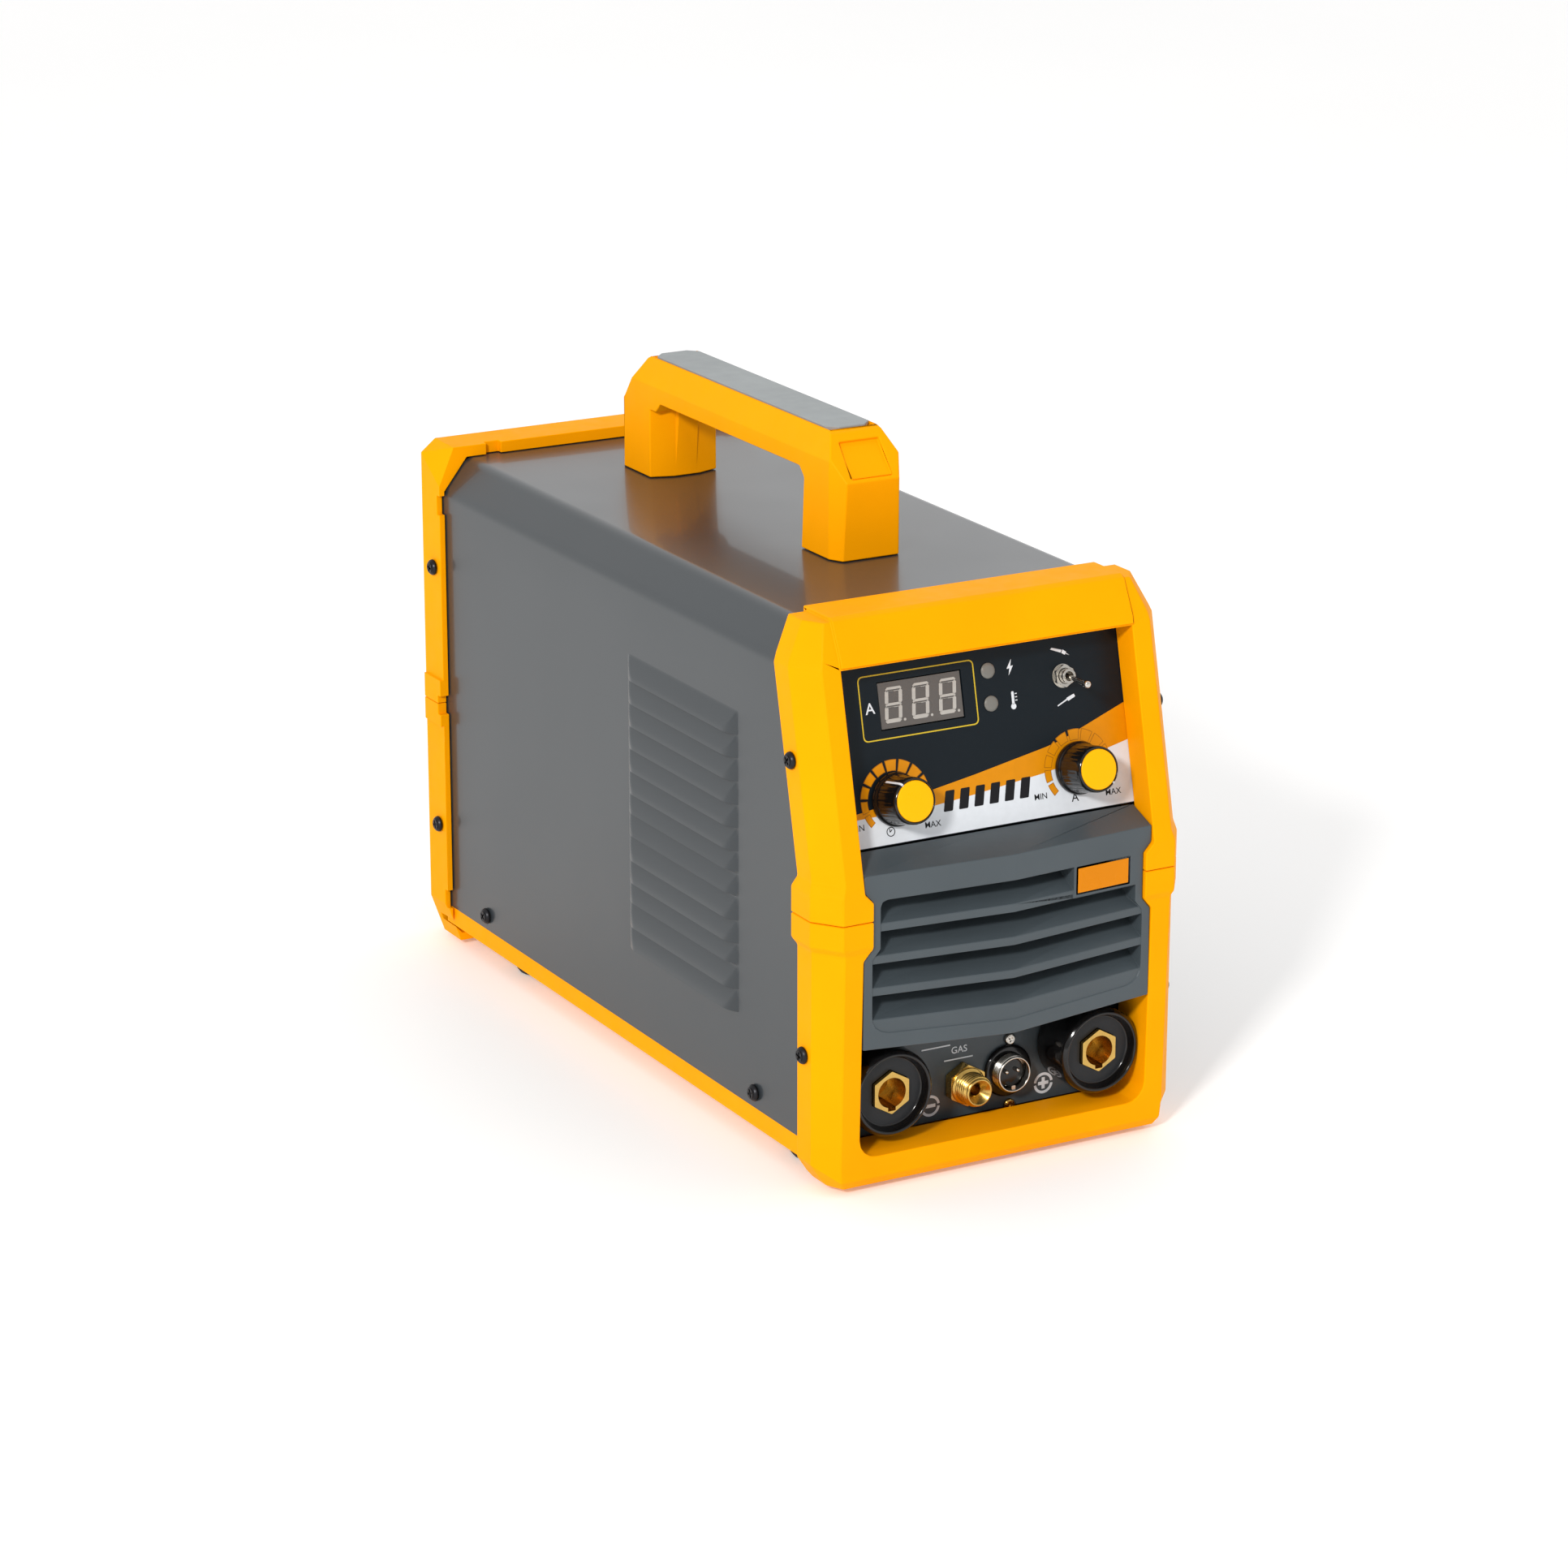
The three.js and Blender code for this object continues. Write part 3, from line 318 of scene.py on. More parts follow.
def meshed(name, curve, middle, material, place, sharp=35):
    source = bpy.data.objects.new(name + "_source", curve)
    bpy.context.scene.collection.objects.link(source)
    bpy.context.view_layer.update()
    evaluated = source.evaluated_get(bpy.context.evaluated_depsgraph_get())
    mesh = bpy.data.meshes.new_from_object(evaluated)
    bpy.data.objects.remove(source)
    bpy.data.curves.remove(curve)
    mesh.transform(Matrix.Translation((0, -middle, 0)) @ UPRIGHT)
    return finish_mesh(name, mesh, material, place, sharp)


def lettering(name, text, size, x, z, material, place, low=0.05, high=0.17):
    curve = bpy.data.curves.new(name, "FONT")
    curve.body = text
    curve.size = size
    curve.offset = size * 0.004
    curve.align_x = "CENTER"
    curve.align_y = "CENTER"
    curve.extrude = (high - low) / 2
    return meshed(name, curve, (low + high) / 2, material, place @ Matrix.Translation((x, 0, z)))


def circle(radius, x=0.0, z=0.0, steps=48, start=0.0, sweep=2 * pi):
    closed = abs(sweep - 2 * pi) < 1e-6
    count = steps if closed else steps + 1
    return [
        (x + radius * cos(start + sweep * k / steps), z + radius * sin(start + sweep * k / steps))
        for k in range(count)
    ]


def sector(inner, outer, start, sweep, x=0.0, z=0.0, steps=8):
    ring = circle(outer, x, z, steps, start, sweep)
    return ring + circle(inner, x, z, steps, start, sweep)[::-1]


def settle(obj, body, slot, *replaced):
    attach(obj, body)
    if replaced:
        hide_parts(*replaced)
    return obj


def joined(name, parts):
    """Several finished pieces as one object with their own materials."""
    bpy.ops.object.select_all(action="DESELECT")
    for part in parts:
        part.select_set(True)
    bpy.context.view_layer.objects.active = parts[0]
    bpy.ops.object.join()
    parts[0].name = name
    return parts[0]


# ---- CAD nodes that keep their shape ----
def plain_faces(obj, flat=1.2):
    """One vertex per corner and one face per flat region."""
    mesh = obj.data
    if "custom_normal" in mesh.attributes:
        mesh.attributes.remove(mesh.attributes["custom_normal"])
    weld = obj.modifiers.new("weld", "WELD")
    weld.merge_threshold = 2e-6
    merge = obj.modifiers.new("flat_faces", "DECIMATE")
    merge.decimate_type = "DISSOLVE"
    merge.angle_limit = radians(flat)


def rounded_edges(obj, width, segments, angle):
    obj.data.shade_smooth()
    bevel = obj.modifiers.new("edge_round", "BEVEL")
    bevel.width = width * MM
    bevel.segments = segments
    bevel.limit_method = "ANGLE"
    bevel.angle_limit = radians(angle)
    bevel.use_clamp_overlap = False
    bevel.miter_outer = "MITER_ARC"
    weighted = obj.modifiers.new("face_normals", "WEIGHTED_NORMAL")
    weighted.keep_sharp = False


def dress(node, material, width=0.5, segments=3, angle=8, flat=1.2):
    """A CAD node gets a material and, unless width is 0, rounded edges; its own mesh stays as it is."""
    obj = nodes[node]
    if width:
        plain_faces(obj, flat)
        rounded_edges(obj, width, segments, angle)
    obj.data.materials.clear()
    obj.data.materials.append(material)


def handle_grip():
    """The handle with rounded edges and the shallow hollow in its sloping front face."""
    source = nodes["handle"]
    plain_faces(source)
    bpy.context.view_layer.update()
    evaluated = source.evaluated_get(bpy.context.evaluated_depsgraph_get())
    grip = bpy.data.objects.new("handle_grip", bpy.data.meshes.new_from_object(evaluated))
    bpy.context.scene.collection.objects.link(grip)
    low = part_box("handle")[0]
    kink = Vector((0, low.y / MM + 0.4, 255))
    slope = Matrix.Translation(kink) @ Matrix.Rotation(radians(-38.9), 4, "X")
    sides = [(-9.2, 1.5), (9.2, 1.5), (9.2, 18.3), (-9.2, 18.3)]
    points = [(x, -3.0, z) for x, z in sides] + [(x, (z - 1.0) / 12, z) for x, z in sides]
    faces = [(0, 1, 2, 3), (7, 6, 5, 4)] + [(i, (i + 1) % 4, 4 + (i + 1) % 4, 4 + i) for i in range(4)]
    hollow = from_faces("handle_hollow", points, faces, amber, slope)
    carve = grip.modifiers.new("hollow", "BOOLEAN")
    carve.operation = "DIFFERENCE"
    carve.solver = "EXACT"
    carve.object = hollow
    apply_modifiers(grip)
    bpy.data.objects.remove(hollow)
    rounded_edges(grip, 0.6, 3, 24)
    grip.data.materials.clear()
    grip.data.materials.append(amber)
    settle(grip, "root", "amber_plastic", "handle")


def dress_all():
    for half in ("upper", "lower"):
        dress("front_frame_" + half, amber, 0.6, angle=16, flat=0.3)
        dress("rear_frame_" + half, amber, 0.3, angle=16, flat=0.3)
    dress("base_tray", amber, 0.25, 2)
    handle_grip()
    dress("handle_pad", pad_grey, 0.4)
    dress("grille", charcoal, 0.3, angle=4, flat=0.4)
    dress("grille_badge", badge_orange, 0.25)
    dress("rear_panel", charcoal, 0.3)
    dress("connector_panel", charcoal, 0)
    dress("control_panel", ink_navy, 0.1, 1)
    dress("control_board", board_green, 0.1, 1)
    dress("display_module", lens, 0.1, 1)
    for place in ("front", "rear"):
        for side in ("left", "right"):
            dress(f"foot_{place}_{side}", rubber, 0.4)
    dress("mode_switch_body", nickel, 0.2)
    dress("fan_frame", satin_black, 0.3)
    dress("fan_rotor", satin_black, 0.2)
    dress("fan_guard", satin_black, 0.4)
    dress("power_switch_body", satin_black, 0.4)
    dress("power_switch_rocker", black, 0.5)
    dress("cable_gland", satin_black, 0.4)
    dress("gas_inlet", brass, 0.3)
    dress("gas_valve", nickel, 0.4)
    dress("gas_hose", hose_blue, 0.2)
    dress("power_board", board_green, 0.3)
    dress("heat_sink", alloy, 0.2)
    dress("main_transformer", copper, 1.0)
    dress("output_choke", copper, 1.0)


dress_all()


# ---- folded cover with pressed louvers ----
def louver_height(y, z):
    """How far the sheet is pressed out at this place, zero away from every louver."""
    level = (z - LOUVER["lowest"]) / LOUVER["pitch"]
    index = int(level // 1)
    if index < 0 or index >= LOUVER["count"]:
        return 0.0
    up = (z - LOUVER["lowest"] - index * LOUVER["pitch"]) / LOUVER["tall"]
    inward = min(y - LOUVER["front"], LOUVER["rear"] - y) / LOUVER["end"]
    if up >= 1 or inward <= 0:
        return 0.0
    slope = 1 - up ** 1.25
    cap = min(1.0, inward)
    cap = cap * (2 - cap)
    blend = LOUVER["blend"]
    gap = max(blend - abs(slope - cap), 0.0) / blend
    return LOUVER["reach"] * max(0.0, min(slope, cap) - gap * gap * blend / 4)


def cover_rows():
    """Heights up one side with the extra rows that the louvers need, each louver's lip row marked."""
    rows = [(COVER["bottom"], False), (LOUVER["lowest"] - 0.5, False)]
    for i in range(LOUVER["count"]):
        low = LOUVER["lowest"] + i * LOUVER["pitch"]
        rows.append((low - 0.05, True))
        rows += [(low + LOUVER["tall"] * k / 9, False) for k in range(10)]
    rows.append((rows[-1][0] + 0.4, False))
    return rows


def cover_section():
    """Half of the cover's outline as (x, z, on_side) from the bottom edge to the middle of the top."""
    fold = filleted([
        (COVER["half"], COVER["crease"] - 20), (COVER["half"], COVER["crease"]),
        (COVER["top_half"], COVER["top"]), (0.0, COVER["top"]),
    ], 3.2, 6)
    side = [(COVER["half"], z, lip) for z, lip in cover_rows()]
    return side + [(x, z, False) for x, z in fold]


def cover_front(z):
    lean = max(0.0, z - COVER["lean_from"]) * tan(radians(PANEL_TILT))
    return COVER["front"] + lean * 0.92


def cover_columns():
    ends = [k * 1.0 for k in range(13)]
    columns = [LOUVER["front"] + k for k in ends]
    columns += [LOUVER["front"] + 12 + k * 69.0 / 8 for k in range(1, 8)]
    columns += [LOUVER["rear"] - k for k in reversed(ends)]
    guards = [LOUVER["front"] - 0.6, LOUVER["front"] - 0.3]
    return guards + columns + [LOUVER["rear"] + 0.3, LOUVER["rear"] + 0.6, 100.0, COVER["rear"]]


def stand_off(points, quad):
    """How far the corners of a quad that lie off the flat sheet stand out."""
    rises = [abs(points[q][0]) - COVER["half"] for q in quad]
    return [rise for rise in rises if rise > 1e-6] or [0.0]


def cover_sheet():
    half = cover_section()
    section = [(x, z, lip, 1) for x, z, lip in half] + [(-x, z, lip, -1) for x, z, lip in half[-2::-1]]
    columns = cover_columns()
    width = len(columns) + 1
    points, faces = [], []
    for x, z, lip, hand in section:
        straight = z < COVER["crease"] - 10
        for y in [cover_front(z), *columns]:
            out = 0.0 if lip or not straight else louver_height(y, z)
            points.append((x + hand * out, y, z))
    for i in range(len(section) - 1):
        lip_row = section[i][2] if section[i][3] > 0 else section[i + 1][2]
        for k in range(width - 1):
            a = i * width + k
            quad = (a, a + 1, a + 1 + width, a + width)
            stand = max(abs(points[q][0]) for q in quad) - COVER["half"]
            if lip_row and min(stand_off(points, quad)) > 0.45 and stand > 0.45:
                continue
            faces.append(quad)
    cover = from_faces("cover_sheet", points, faces, steel_paint, sharp=38)
    thick = cover.modifiers.new("sheet", "SOLIDIFY")
    thick.thickness = COVER["sheet"] * MM
    thick.offset = -1.0
    apply_modifiers(cover)
    cover.data.shade_smooth()
    cover.data.set_sharp_from_angle(angle=radians(30))
    return settle(cover, "root", "painted_steel", "cover")


cover_sheet()


# ---- screws ----
def cross_recess(reach, width):
    return [
        (reach, -width), (reach, width), (width, width),
        (width, reach), (-width, reach), (-width, width),
        (-reach, width), (-reach, -width), (-width, -width),
        (-width, -reach), (width, -reach), (width, -width),
    ]


def screw_head(name, radius, tall, place, material):
    """A pan head with a cross recess: a domed ring around the cross, and the recess floor."""
    rim = revolve(name + "_rim", filleted([
        (0, 0), (radius, 0), (radius, tall * 0.35), (radius * 0.82, tall * 0.86), (radius * 0.5, tall * 0.9),
        (0, tall * 0.5),
    ], tall * 0.3, 5), material, place, 40)
    loops = [circle(radius * 0.66, steps=40), cross_recess(radius * 0.5, radius * 0.13)]
    crown = plate(name + "_crown", loops, tall * 0.45, tall, material, place)
    soften(crown, radius * 0.05, 2)
    apply_modifiers(crown)
    return joined(name, [rim, crown])


def side_screws():
    names = [n for n in nodes if "screw" in n]
    for node in sorted(names):
        low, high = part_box(node)
        middle = (low + high) / 2 / MM
        hand = 1 if middle.x > 0 else -1
        face = (high.x if hand > 0 else -low.x) / MM - 2.3
        turn = Matrix.Rotation(hand * pi / 2, 4, "Z")
        twist = Matrix.Rotation(radians(17 + 31 * len(node)), 4, "Y")
        place = Matrix.Translation((hand * face, middle.y, middle.z)) @ turn @ twist
        head = screw_head(node + "_head", SCREW_RADIUS, 2.2, place, black_oxide)
        settle(head, "root", "black_screw", node)


side_screws()


# ---- control panel print ----
FILM = 0.12
BAND_TOP = [
    (-74, 12.4), (-60, 13.8), (-24, 18.6), (-5, 21.6), (28, 27.5),
    (36, 29.3), (46, 33.0), (64, 39.4), (74, 43),
]
BAND_LOW = [(-74, 11.4), (-60, 11.7), (-24, 12.3), (-6, 13.9), (27, 17.6), (46, 20.9), (64, 24.8), (74, 27.0)]


def around_knobs(line, hand):
    """The line with a bow around each knob's shaft hole, passing below it (-1) or above it (1)."""
    result = [line[0]]
    for (x0, z0), (x1, z1) in zip(line, line[1:]):
        for k in range(1, 41):
            x, z = x0 + (x1 - x0) * k / 40, z0 + (z1 - z0) * k / 40
            for side in (-1, 1):
                dx, dz = x - side * KNOB["x"], z - KNOB["up"]
                if hypot(dx, dz) < 4.4:
                    z = KNOB["up"] + hand * (4.4 ** 2 - dx * dx) ** 0.5
            result.append((x, z))
    return result


def printed_fields():
    white = [(-74, 0.4), (74, 0.4), *around_knobs(BAND_LOW, -1)[::-1]]
    orange = [*around_knobs(BAND_LOW, 1), *around_knobs(BAND_TOP, -1)[::-1]]
    settle(plate("panel_white_field", [white], 0.02, FILM, ink_white, PANEL), "root", "panel_film")
    settle(plate("panel_orange_band", [orange], 0.02, FILM + 0.02, ink_orange, PANEL), "root", "panel_film")


def dial(name, x):
    """Eleven wedges around a knob that grow thicker clockwise, each with a darker edge line."""
    wedges, edges = [], []
    for i in range(11):
        start = radians(218.5 - 23.8 * i)
        inner = 12.5 - 0.25 * i
        outer = 14.7 + 0.11 * i
        sweep = -radians(17.8)
        edges.append(sector(inner - 0.25, outer + 0.25, start + 0.018, sweep - 0.036, x, KNOB["up"]))
        wedges.append(sector(inner, outer, start, sweep, x, KNOB["up"]))
    line = plate(name + "_lines", edges, 0.04, FILM + 0.06, ink_deep_orange, PANEL)
    face = plate(name + "_wedges", wedges, 0.04, FILM + 0.1, ink_orange, PANEL)
    settle(line, "root", "panel_film")
    settle(face, "root", "panel_film")


def rounded_box(left, right, low, high, radius):
    return filleted([(left, low), (right, low), (right, high), (left, high)], radius, 6, True)


def display():
    outer = rounded_box(-52.3, -0.5, 40.7, 66.2, 2.4)
    inner = rounded_box(-51.8, -1.0, 41.2, 65.7, 2.0)
    settle(plate("display_border", [outer, inner], 0.04, FILM, ink_gold, PANEL), "root", "panel_film")
    loops = []
    middle = (DISPLAY["low"] + DISPLAY["high"]) / 2
    for i in range(3):
        loops += digit(-37.3 + 12.1 * i, middle)
    digits = plate("display_digits", loops, -0.38, -0.24, ink_segment, PANEL)
    settle(digits, "root", "display_lens")


def digit(x, z, wide=7.7, tall=13.8, bar=1.55):
    """Seven segments of one digit, leaning like a real display, and its decimal point."""
    half, high, gap = wide / 2, tall / 2, 0.22
    lean = tan(radians(6))

    def slab(points):
        return [(x + px + pz * lean, z + pz) for px, pz in points]

    def level(at):
        edge = half - bar / 2 - gap
        return slab([(-edge - bar / 2, at), (-edge, at + bar / 2), (edge, at + bar / 2), (edge + bar / 2, at),
                     (edge, at - bar / 2), (-edge, at - bar / 2)])

    def post(at, low, top):
        return slab([(at, low), (at + bar / 2, low + bar / 2), (at + bar / 2, top - bar / 2), (at, top),
                     (at - bar / 2, top - bar / 2), (at - bar / 2, low + bar / 2)])

    reach = high - bar / 2
    loops = [level(reach), level(0), level(-reach)]
    for side in (-1, 1):
        at = side * (half - bar / 2)
        loops += [post(at, gap, reach - gap), post(at, -reach + gap, -gap)]
    loops.append(circle(0.55, x + half + 1.25 - high * lean, z - high + 0.6, 16))
    return loops


def symbols():
    """Generic pictograms: power, heat, a timer, a torch and a stick electrode."""
    x, power, heat = LAMP["x"] + 10.1, LAMP["power"], LAMP["overheat"]
    bolt = [(x + 0.9, power + 3.1), (x - 1.5, power - 0.5), (x - 0.2, power - 0.35), (x - 0.8, power - 3.1),
            (x + 1.5, power + 0.55), (x + 0.25, power + 0.4)]
    stem = filleted([(x - 0.55, heat - 1.8), (x + 0.55, heat - 1.8),
                     (x + 0.55, heat + 3.4), (x - 0.55, heat + 3.4)],
                    0.5, 4, True)
    bulb = circle(1.15, x, heat - 2.5, 24)
    marks = [[(x + 1.0, heat + k), (x + 1.9, heat + k),
              (x + 1.9, heat + k + 0.35), (x + 1.0, heat + k + 0.35)]
             for k in (-0.4, 0.9, 2.2)]
    ring = [circle(1.9, -44.7, 5.2, 32), circle(1.55, -44.7, 5.2, 32)]
    hand = [
        (-44.9, 5.0), (-43.9, 5.9), (-44.1, 6.15), (-44.95, 5.45),
        (-44.95, 6.6), (-45.25, 6.6), (-45.25, 5.0),
    ]
    white = [bolt, stem, bulb, *marks, *torch_symbol(38.9, 63.8), *electrode_symbol(39.7, 44.4)]
    for i, loop in enumerate(white):
        settle(plate(f"symbol_white_{i}", [loop], 0.04, FILM + 0.05, ink_white, PANEL), "root", "panel_film")
    settle(plate("symbol_timer_ring", ring, 0.04, FILM + 0.05, ink_black, PANEL), "root", "panel_film")
    settle(plate("symbol_timer_hand", [hand], 0.04, FILM + 0.05, ink_black, PANEL), "root", "panel_film")


def torch_symbol(x, z):
    handle_ = [(x - 4.2, z + 1.3), (x - 3.4, z + 1.9), (x + 1.0, z + 0.5), (x + 0.4, z - 0.5)]
    cup = [(x + 0.8, z - 0.7), (x + 1.5, z + 0.6), (x + 3.0, z - 0.6), (x + 2.2, z - 1.6)]
    needle = [(x + 2.8, z - 1.3), (x + 3.0, z - 1.0), (x + 4.3, z - 2.0)]
    return [handle_, cup, needle]


def electrode_symbol(x, z):
    rod = [(x - 4.2, z - 1.5), (x - 4.0, z - 1.9), (x + 0.6, z + 0.1), (x + 0.3, z + 0.6)]
    holder = [(x + 0.2, z + 0.9), (x + 0.9, z - 0.4), (x + 4.2, z + 1.0), (x + 3.7, z + 2.1)]
    return [rod, holder]


def slanted_bars():
    """A row of leaning bars in the place of a name."""
    lean = tan(radians(12))
    loops = []
    for i in range(6):
        left = -20.5 + i * 6.9
        shift = 8.0 * lean
        loops.append([(left, 9.2), (left + 4.1, 9.2), (left + 4.1 + shift, 17.2), (left + shift, 17.2)])
    for i, loop in enumerate(loops):
        bar = plate(f"panel_bar_{i}", [filleted(loop, 0.5, 3, True)], 0.04, FILM + 0.08, ink_black, PANEL)
        settle(bar, "root", "panel_film")


def panel_words():
    words = [
        ("word_min_left", "MIN", 3.4, -59.0, 8.4, ink_black),
        ("word_max_left", "MAX", 3.4, -25.9, 5.2, ink_black),
        ("word_min_right", "MIN", 3.4, 23.6, 8.5, ink_black),
        ("word_max_right", "MAX", 3.4, 56.8, 5.6, ink_black),
        ("word_amps", "A", 4.9, 39.1, 5.9, ink_black),
        ("word_amps_display", "A", 6.2, -48.0, 53.2, ink_white),
    ]
    for name, text, size, x, z, material in words:
        settle(lettering(name, text, size, x, z, material, PANEL), "root", "panel_film")


printed_fields()
for side_name, side_x in (("gas_dial", -KNOB["x"]), ("current_dial", KNOB["x"])):
    dial(side_name, side_x)
display()
symbols()
slanted_bars()
panel_words()


# ---- knobs, lamps and the mode switch ----
def knob(name, side, pointer):
    """A ribbed knob; pointer is its mark's angle in degrees anticlockwise from three o'clock."""
    place = PANEL @ Matrix.Translation((side * KNOB["x"], 0, KNOB["up"]))
    skirt, tall, cap = KNOB["skirt"], KNOB["tall"], KNOB["cap"]
    profile = filleted([
        (3.0, 0.5), (skirt - 0.2, 0.5), (skirt, 1.0), (skirt, 2.6), (skirt - 0.9, 3.6), (skirt - 1.0, 5.0),
        (9.25, tall - 2.0), (9.0, tall - 0.5), (cap + 0.35, tall), (cap + 0.1, tall - 0.3),
        (cap + 0.1, tall - 2.0),
        (0.0, tall - 2.0),
    ], 0.7, 3)
    dense = []
    for (r0, h0), (r1, h1) in zip(profile, profile[1:]):
        cuts = 6 if abs(h1 - h0) > 4 else 1
        dense += [(r0 + (r1 - r0) * k / cuts, h0 + (h1 - h0) * k / cuts) for k in range(cuts)]
    dense.append(profile[-1])

    def ribbed(radius, height, angle):
        fade = min(1.0, max(0.0, (height - 3.6) / 1.2)) * min(1.0, max(0.0, (tall - 2.2 - height) / 1.0))
        if radius < 8.7 or fade <= 0:
            return radius
        groove = max(0.0, cos(24 * angle)) ** 3
        return radius - 0.2 * fade * groove

    body = revolve(name + "_body", dense, black, place, 192, ribbed, 50)
    shaft = revolve(name + "_shaft", [(0, -13), (3.0, -13), (3.0, 1.0), (0, 1.0)], alloy, place, 24)
    angle = radians(pointer)
    mark_place = place @ Matrix.Rotation(-angle, 4, "Y")
    line = from_faces(name + "_mark", *mark_strip(), ink_white, mark_place)
    settle(joined(name + "_turned", [body, shaft, line]), name, "black_plastic", name)
    lid = revolve(name + "_lid", filleted([
        (0, tall - 1.9), (cap, tall - 1.9), (cap, tall - 0.25), (cap - 0.5, tall + 0.05), (0, tall + 0.12),
    ], 0.35, 4), cap_yellow, place, 96)
    settle(lid, name, "knob_yellow", name + "_cap")


def mark_strip():
    """A thin raised line along a knob's side, from the skirt to the rim, at three o'clock."""
    tall = KNOB["tall"]
    outline = [(9.6, 5.0), (9.3, tall - 2.4), (9.05, tall - 0.7), (8.6, tall - 0.1)]
    points, faces = [], []
    for radius, height in outline:
        for depth in (0.0, -0.6):
            for across in (-0.45, 0.45):
                points.append((radius + 0.12 + depth, -height, across))
    for i in range(len(outline) - 1):
        a, b = i * 4, i * 4 + 4
        faces += [(a, a + 1, b + 1, b), (a + 2, b + 2, b + 3, a + 3)]
        faces += [(a, b, b + 2, a + 2), (a + 1, a + 3, b + 3, b + 1)]
    last = (len(outline) - 1) * 4
    faces += [(0, 2, 3, 1), (last, last + 1, last + 3, last + 2)]
    return points, faces


def lamps():
    for name, up in (("power_lamp", LAMP["power"]), ("overheat_lamp", LAMP["overheat"])):
        place = PANEL @ Matrix.Translation((LAMP["x"], 0, up))
        dome = revolve(name + "_dome", filleted([
            (0, -4), (2.5, -4), (2.5, 0.05), (3.1, 0.05), (3.1, 0.5), (2.4, 1.0), (1.2, 1.2), (0, 1.25),
        ], 0.4, 4), lamp_glass, place, 40)
        settle(dome, "root", "lamp_lens", name)


def mode_switch():
    place = PANEL @ Matrix.Translation((TOGGLE["x"], 0, TOGGLE["up"]))
    hexagon = [(4.6 * cos(pi / 2 + k * pi / 3), 4.6 * sin(pi / 2 + k * pi / 3)) for k in range(6)]
    loops = [filleted(hexagon, 0.5, 3, True), circle(3.15)]
    nut = soften(plate("mode_switch_hex", loops, 0.55, 2.5, nickel, place), 0.3, 2)
    settle(nut, "root", "nickel", "mode_switch_nut")
    washer = plate("mode_switch_washer", [circle(4.7), circle(3.2)], 0.13, 0.5, nickel, place)
    settle(washer, "root", "nickel")
    ridges = [(2.95 if k % 2 else 2.7, 0.4 + 0.2 * k) for k in range(25)]
    thread = [(3.0, -1.0), *ridges, (2.6, 5.5), (2.1, 5.6), (2.05, 2.0)]
    settle(revolve("mode_switch_bush", thread, nickel, place, 48), "root", "nickel")
    tilt = Matrix.Rotation(radians(12), 4, "X")
    lever_place = place @ Matrix.Translation((0, -4.2, 0)) @ tilt
    lever = revolve("mode_switch_bat", filleted([
        (0, -2.6), (1.1, -2.4), (0.95, 2.0), (0.95, 5.0), (1.1, 11.5), (1.5, 13.4), (1.45, 14.8), (0.9, 15.4),
        (0, 15.5),
    ], 0.8, 4), nickel, lever_place, 32)
    settle(lever, "mode_lever", "nickel", "mode_switch_lever")


knob("gas_knob", -1, 126)
knob("current_knob", 1, -45)
lamps()
mode_switch()


# ---- weld sockets, gas outlet and torch connector ----
def weld_socket(name, x):
    deep = -SOCKET["front"] + CONNECTOR_FACE - 0.3
    place = Matrix.Translation((x, CONNECTOR_FACE - 0.3, SOCKET["z"]))
    radius = SOCKET["radius"]
    shell = revolve(name + "_ring", filleted([
        (9.0, -16), (13, -16), (13, 0), (radius - 0.6, 0), (radius, 0.8), (radius, deep - 1.6),
        (radius - 1.4, deep),
        (radius - 2.2, deep - 0.1), (radius - 3.2, deep - 3.0), (radius - 3.7, deep - 3.9), (9.0, deep - 4.3),
        (9.0, deep - 12),
    ], 0.9, 4), black, place, 112)
    collar = hex_ring(name + "_collar", SOCKET["hex"] + 0.3, 14.0, deep - 5.4, deep - 3.9, place)
    settle(joined(name + "_shell", [shell, collar]), "root", "black_plastic", name + "_housing")
    loops = [hexagon_loop(SOCKET["hex"], 0.5), keyed_bore()]
    insert = plate(name + "_hex", loops, deep - 24, deep - 2.0, brass, place, 30)
    soften(insert, 0.35, 3)
    back = revolve(name + "_floor", filleted([
        (0, deep - 17), (7.4, deep - 17), (7.4, deep - 16), (2.5, deep - 16), (2.2, deep - 14.5),
        (0, deep - 14.2),
    ], 0.3, 3), brass, place, 32)
    apply_modifiers(insert)
    settle(joined(name + "_brass", [insert, back]), "root", "brass", name + "_insert")


def hexagon_loop(radius, corner, start=pi / 2):
    points = [(radius * cos(start + k * pi / 3), radius * sin(start + k * pi / 3)) for k in range(6)]
    return filleted(points, corner, 3, True)


def keyed_bore():
    """The round pin hole with the keyway at its foot."""
    bore, half = SOCKET["bore"], 1.7
    arc = circle(bore, steps=48, start=-pi / 2 + 0.28, sweep=2 * pi - 0.56)
    return arc + [(-half, -bore - 1.3), (half, -bore - 1.3)]


def hex_ring(name, inner, outer, low, high, place):
    ring = plate(name, [circle(outer, steps=72), hexagon_loop(inner, 0.4)], low, high, satin_black, place)
    soften(ring, 0.2, 2)
    apply_modifiers(ring)
    return ring


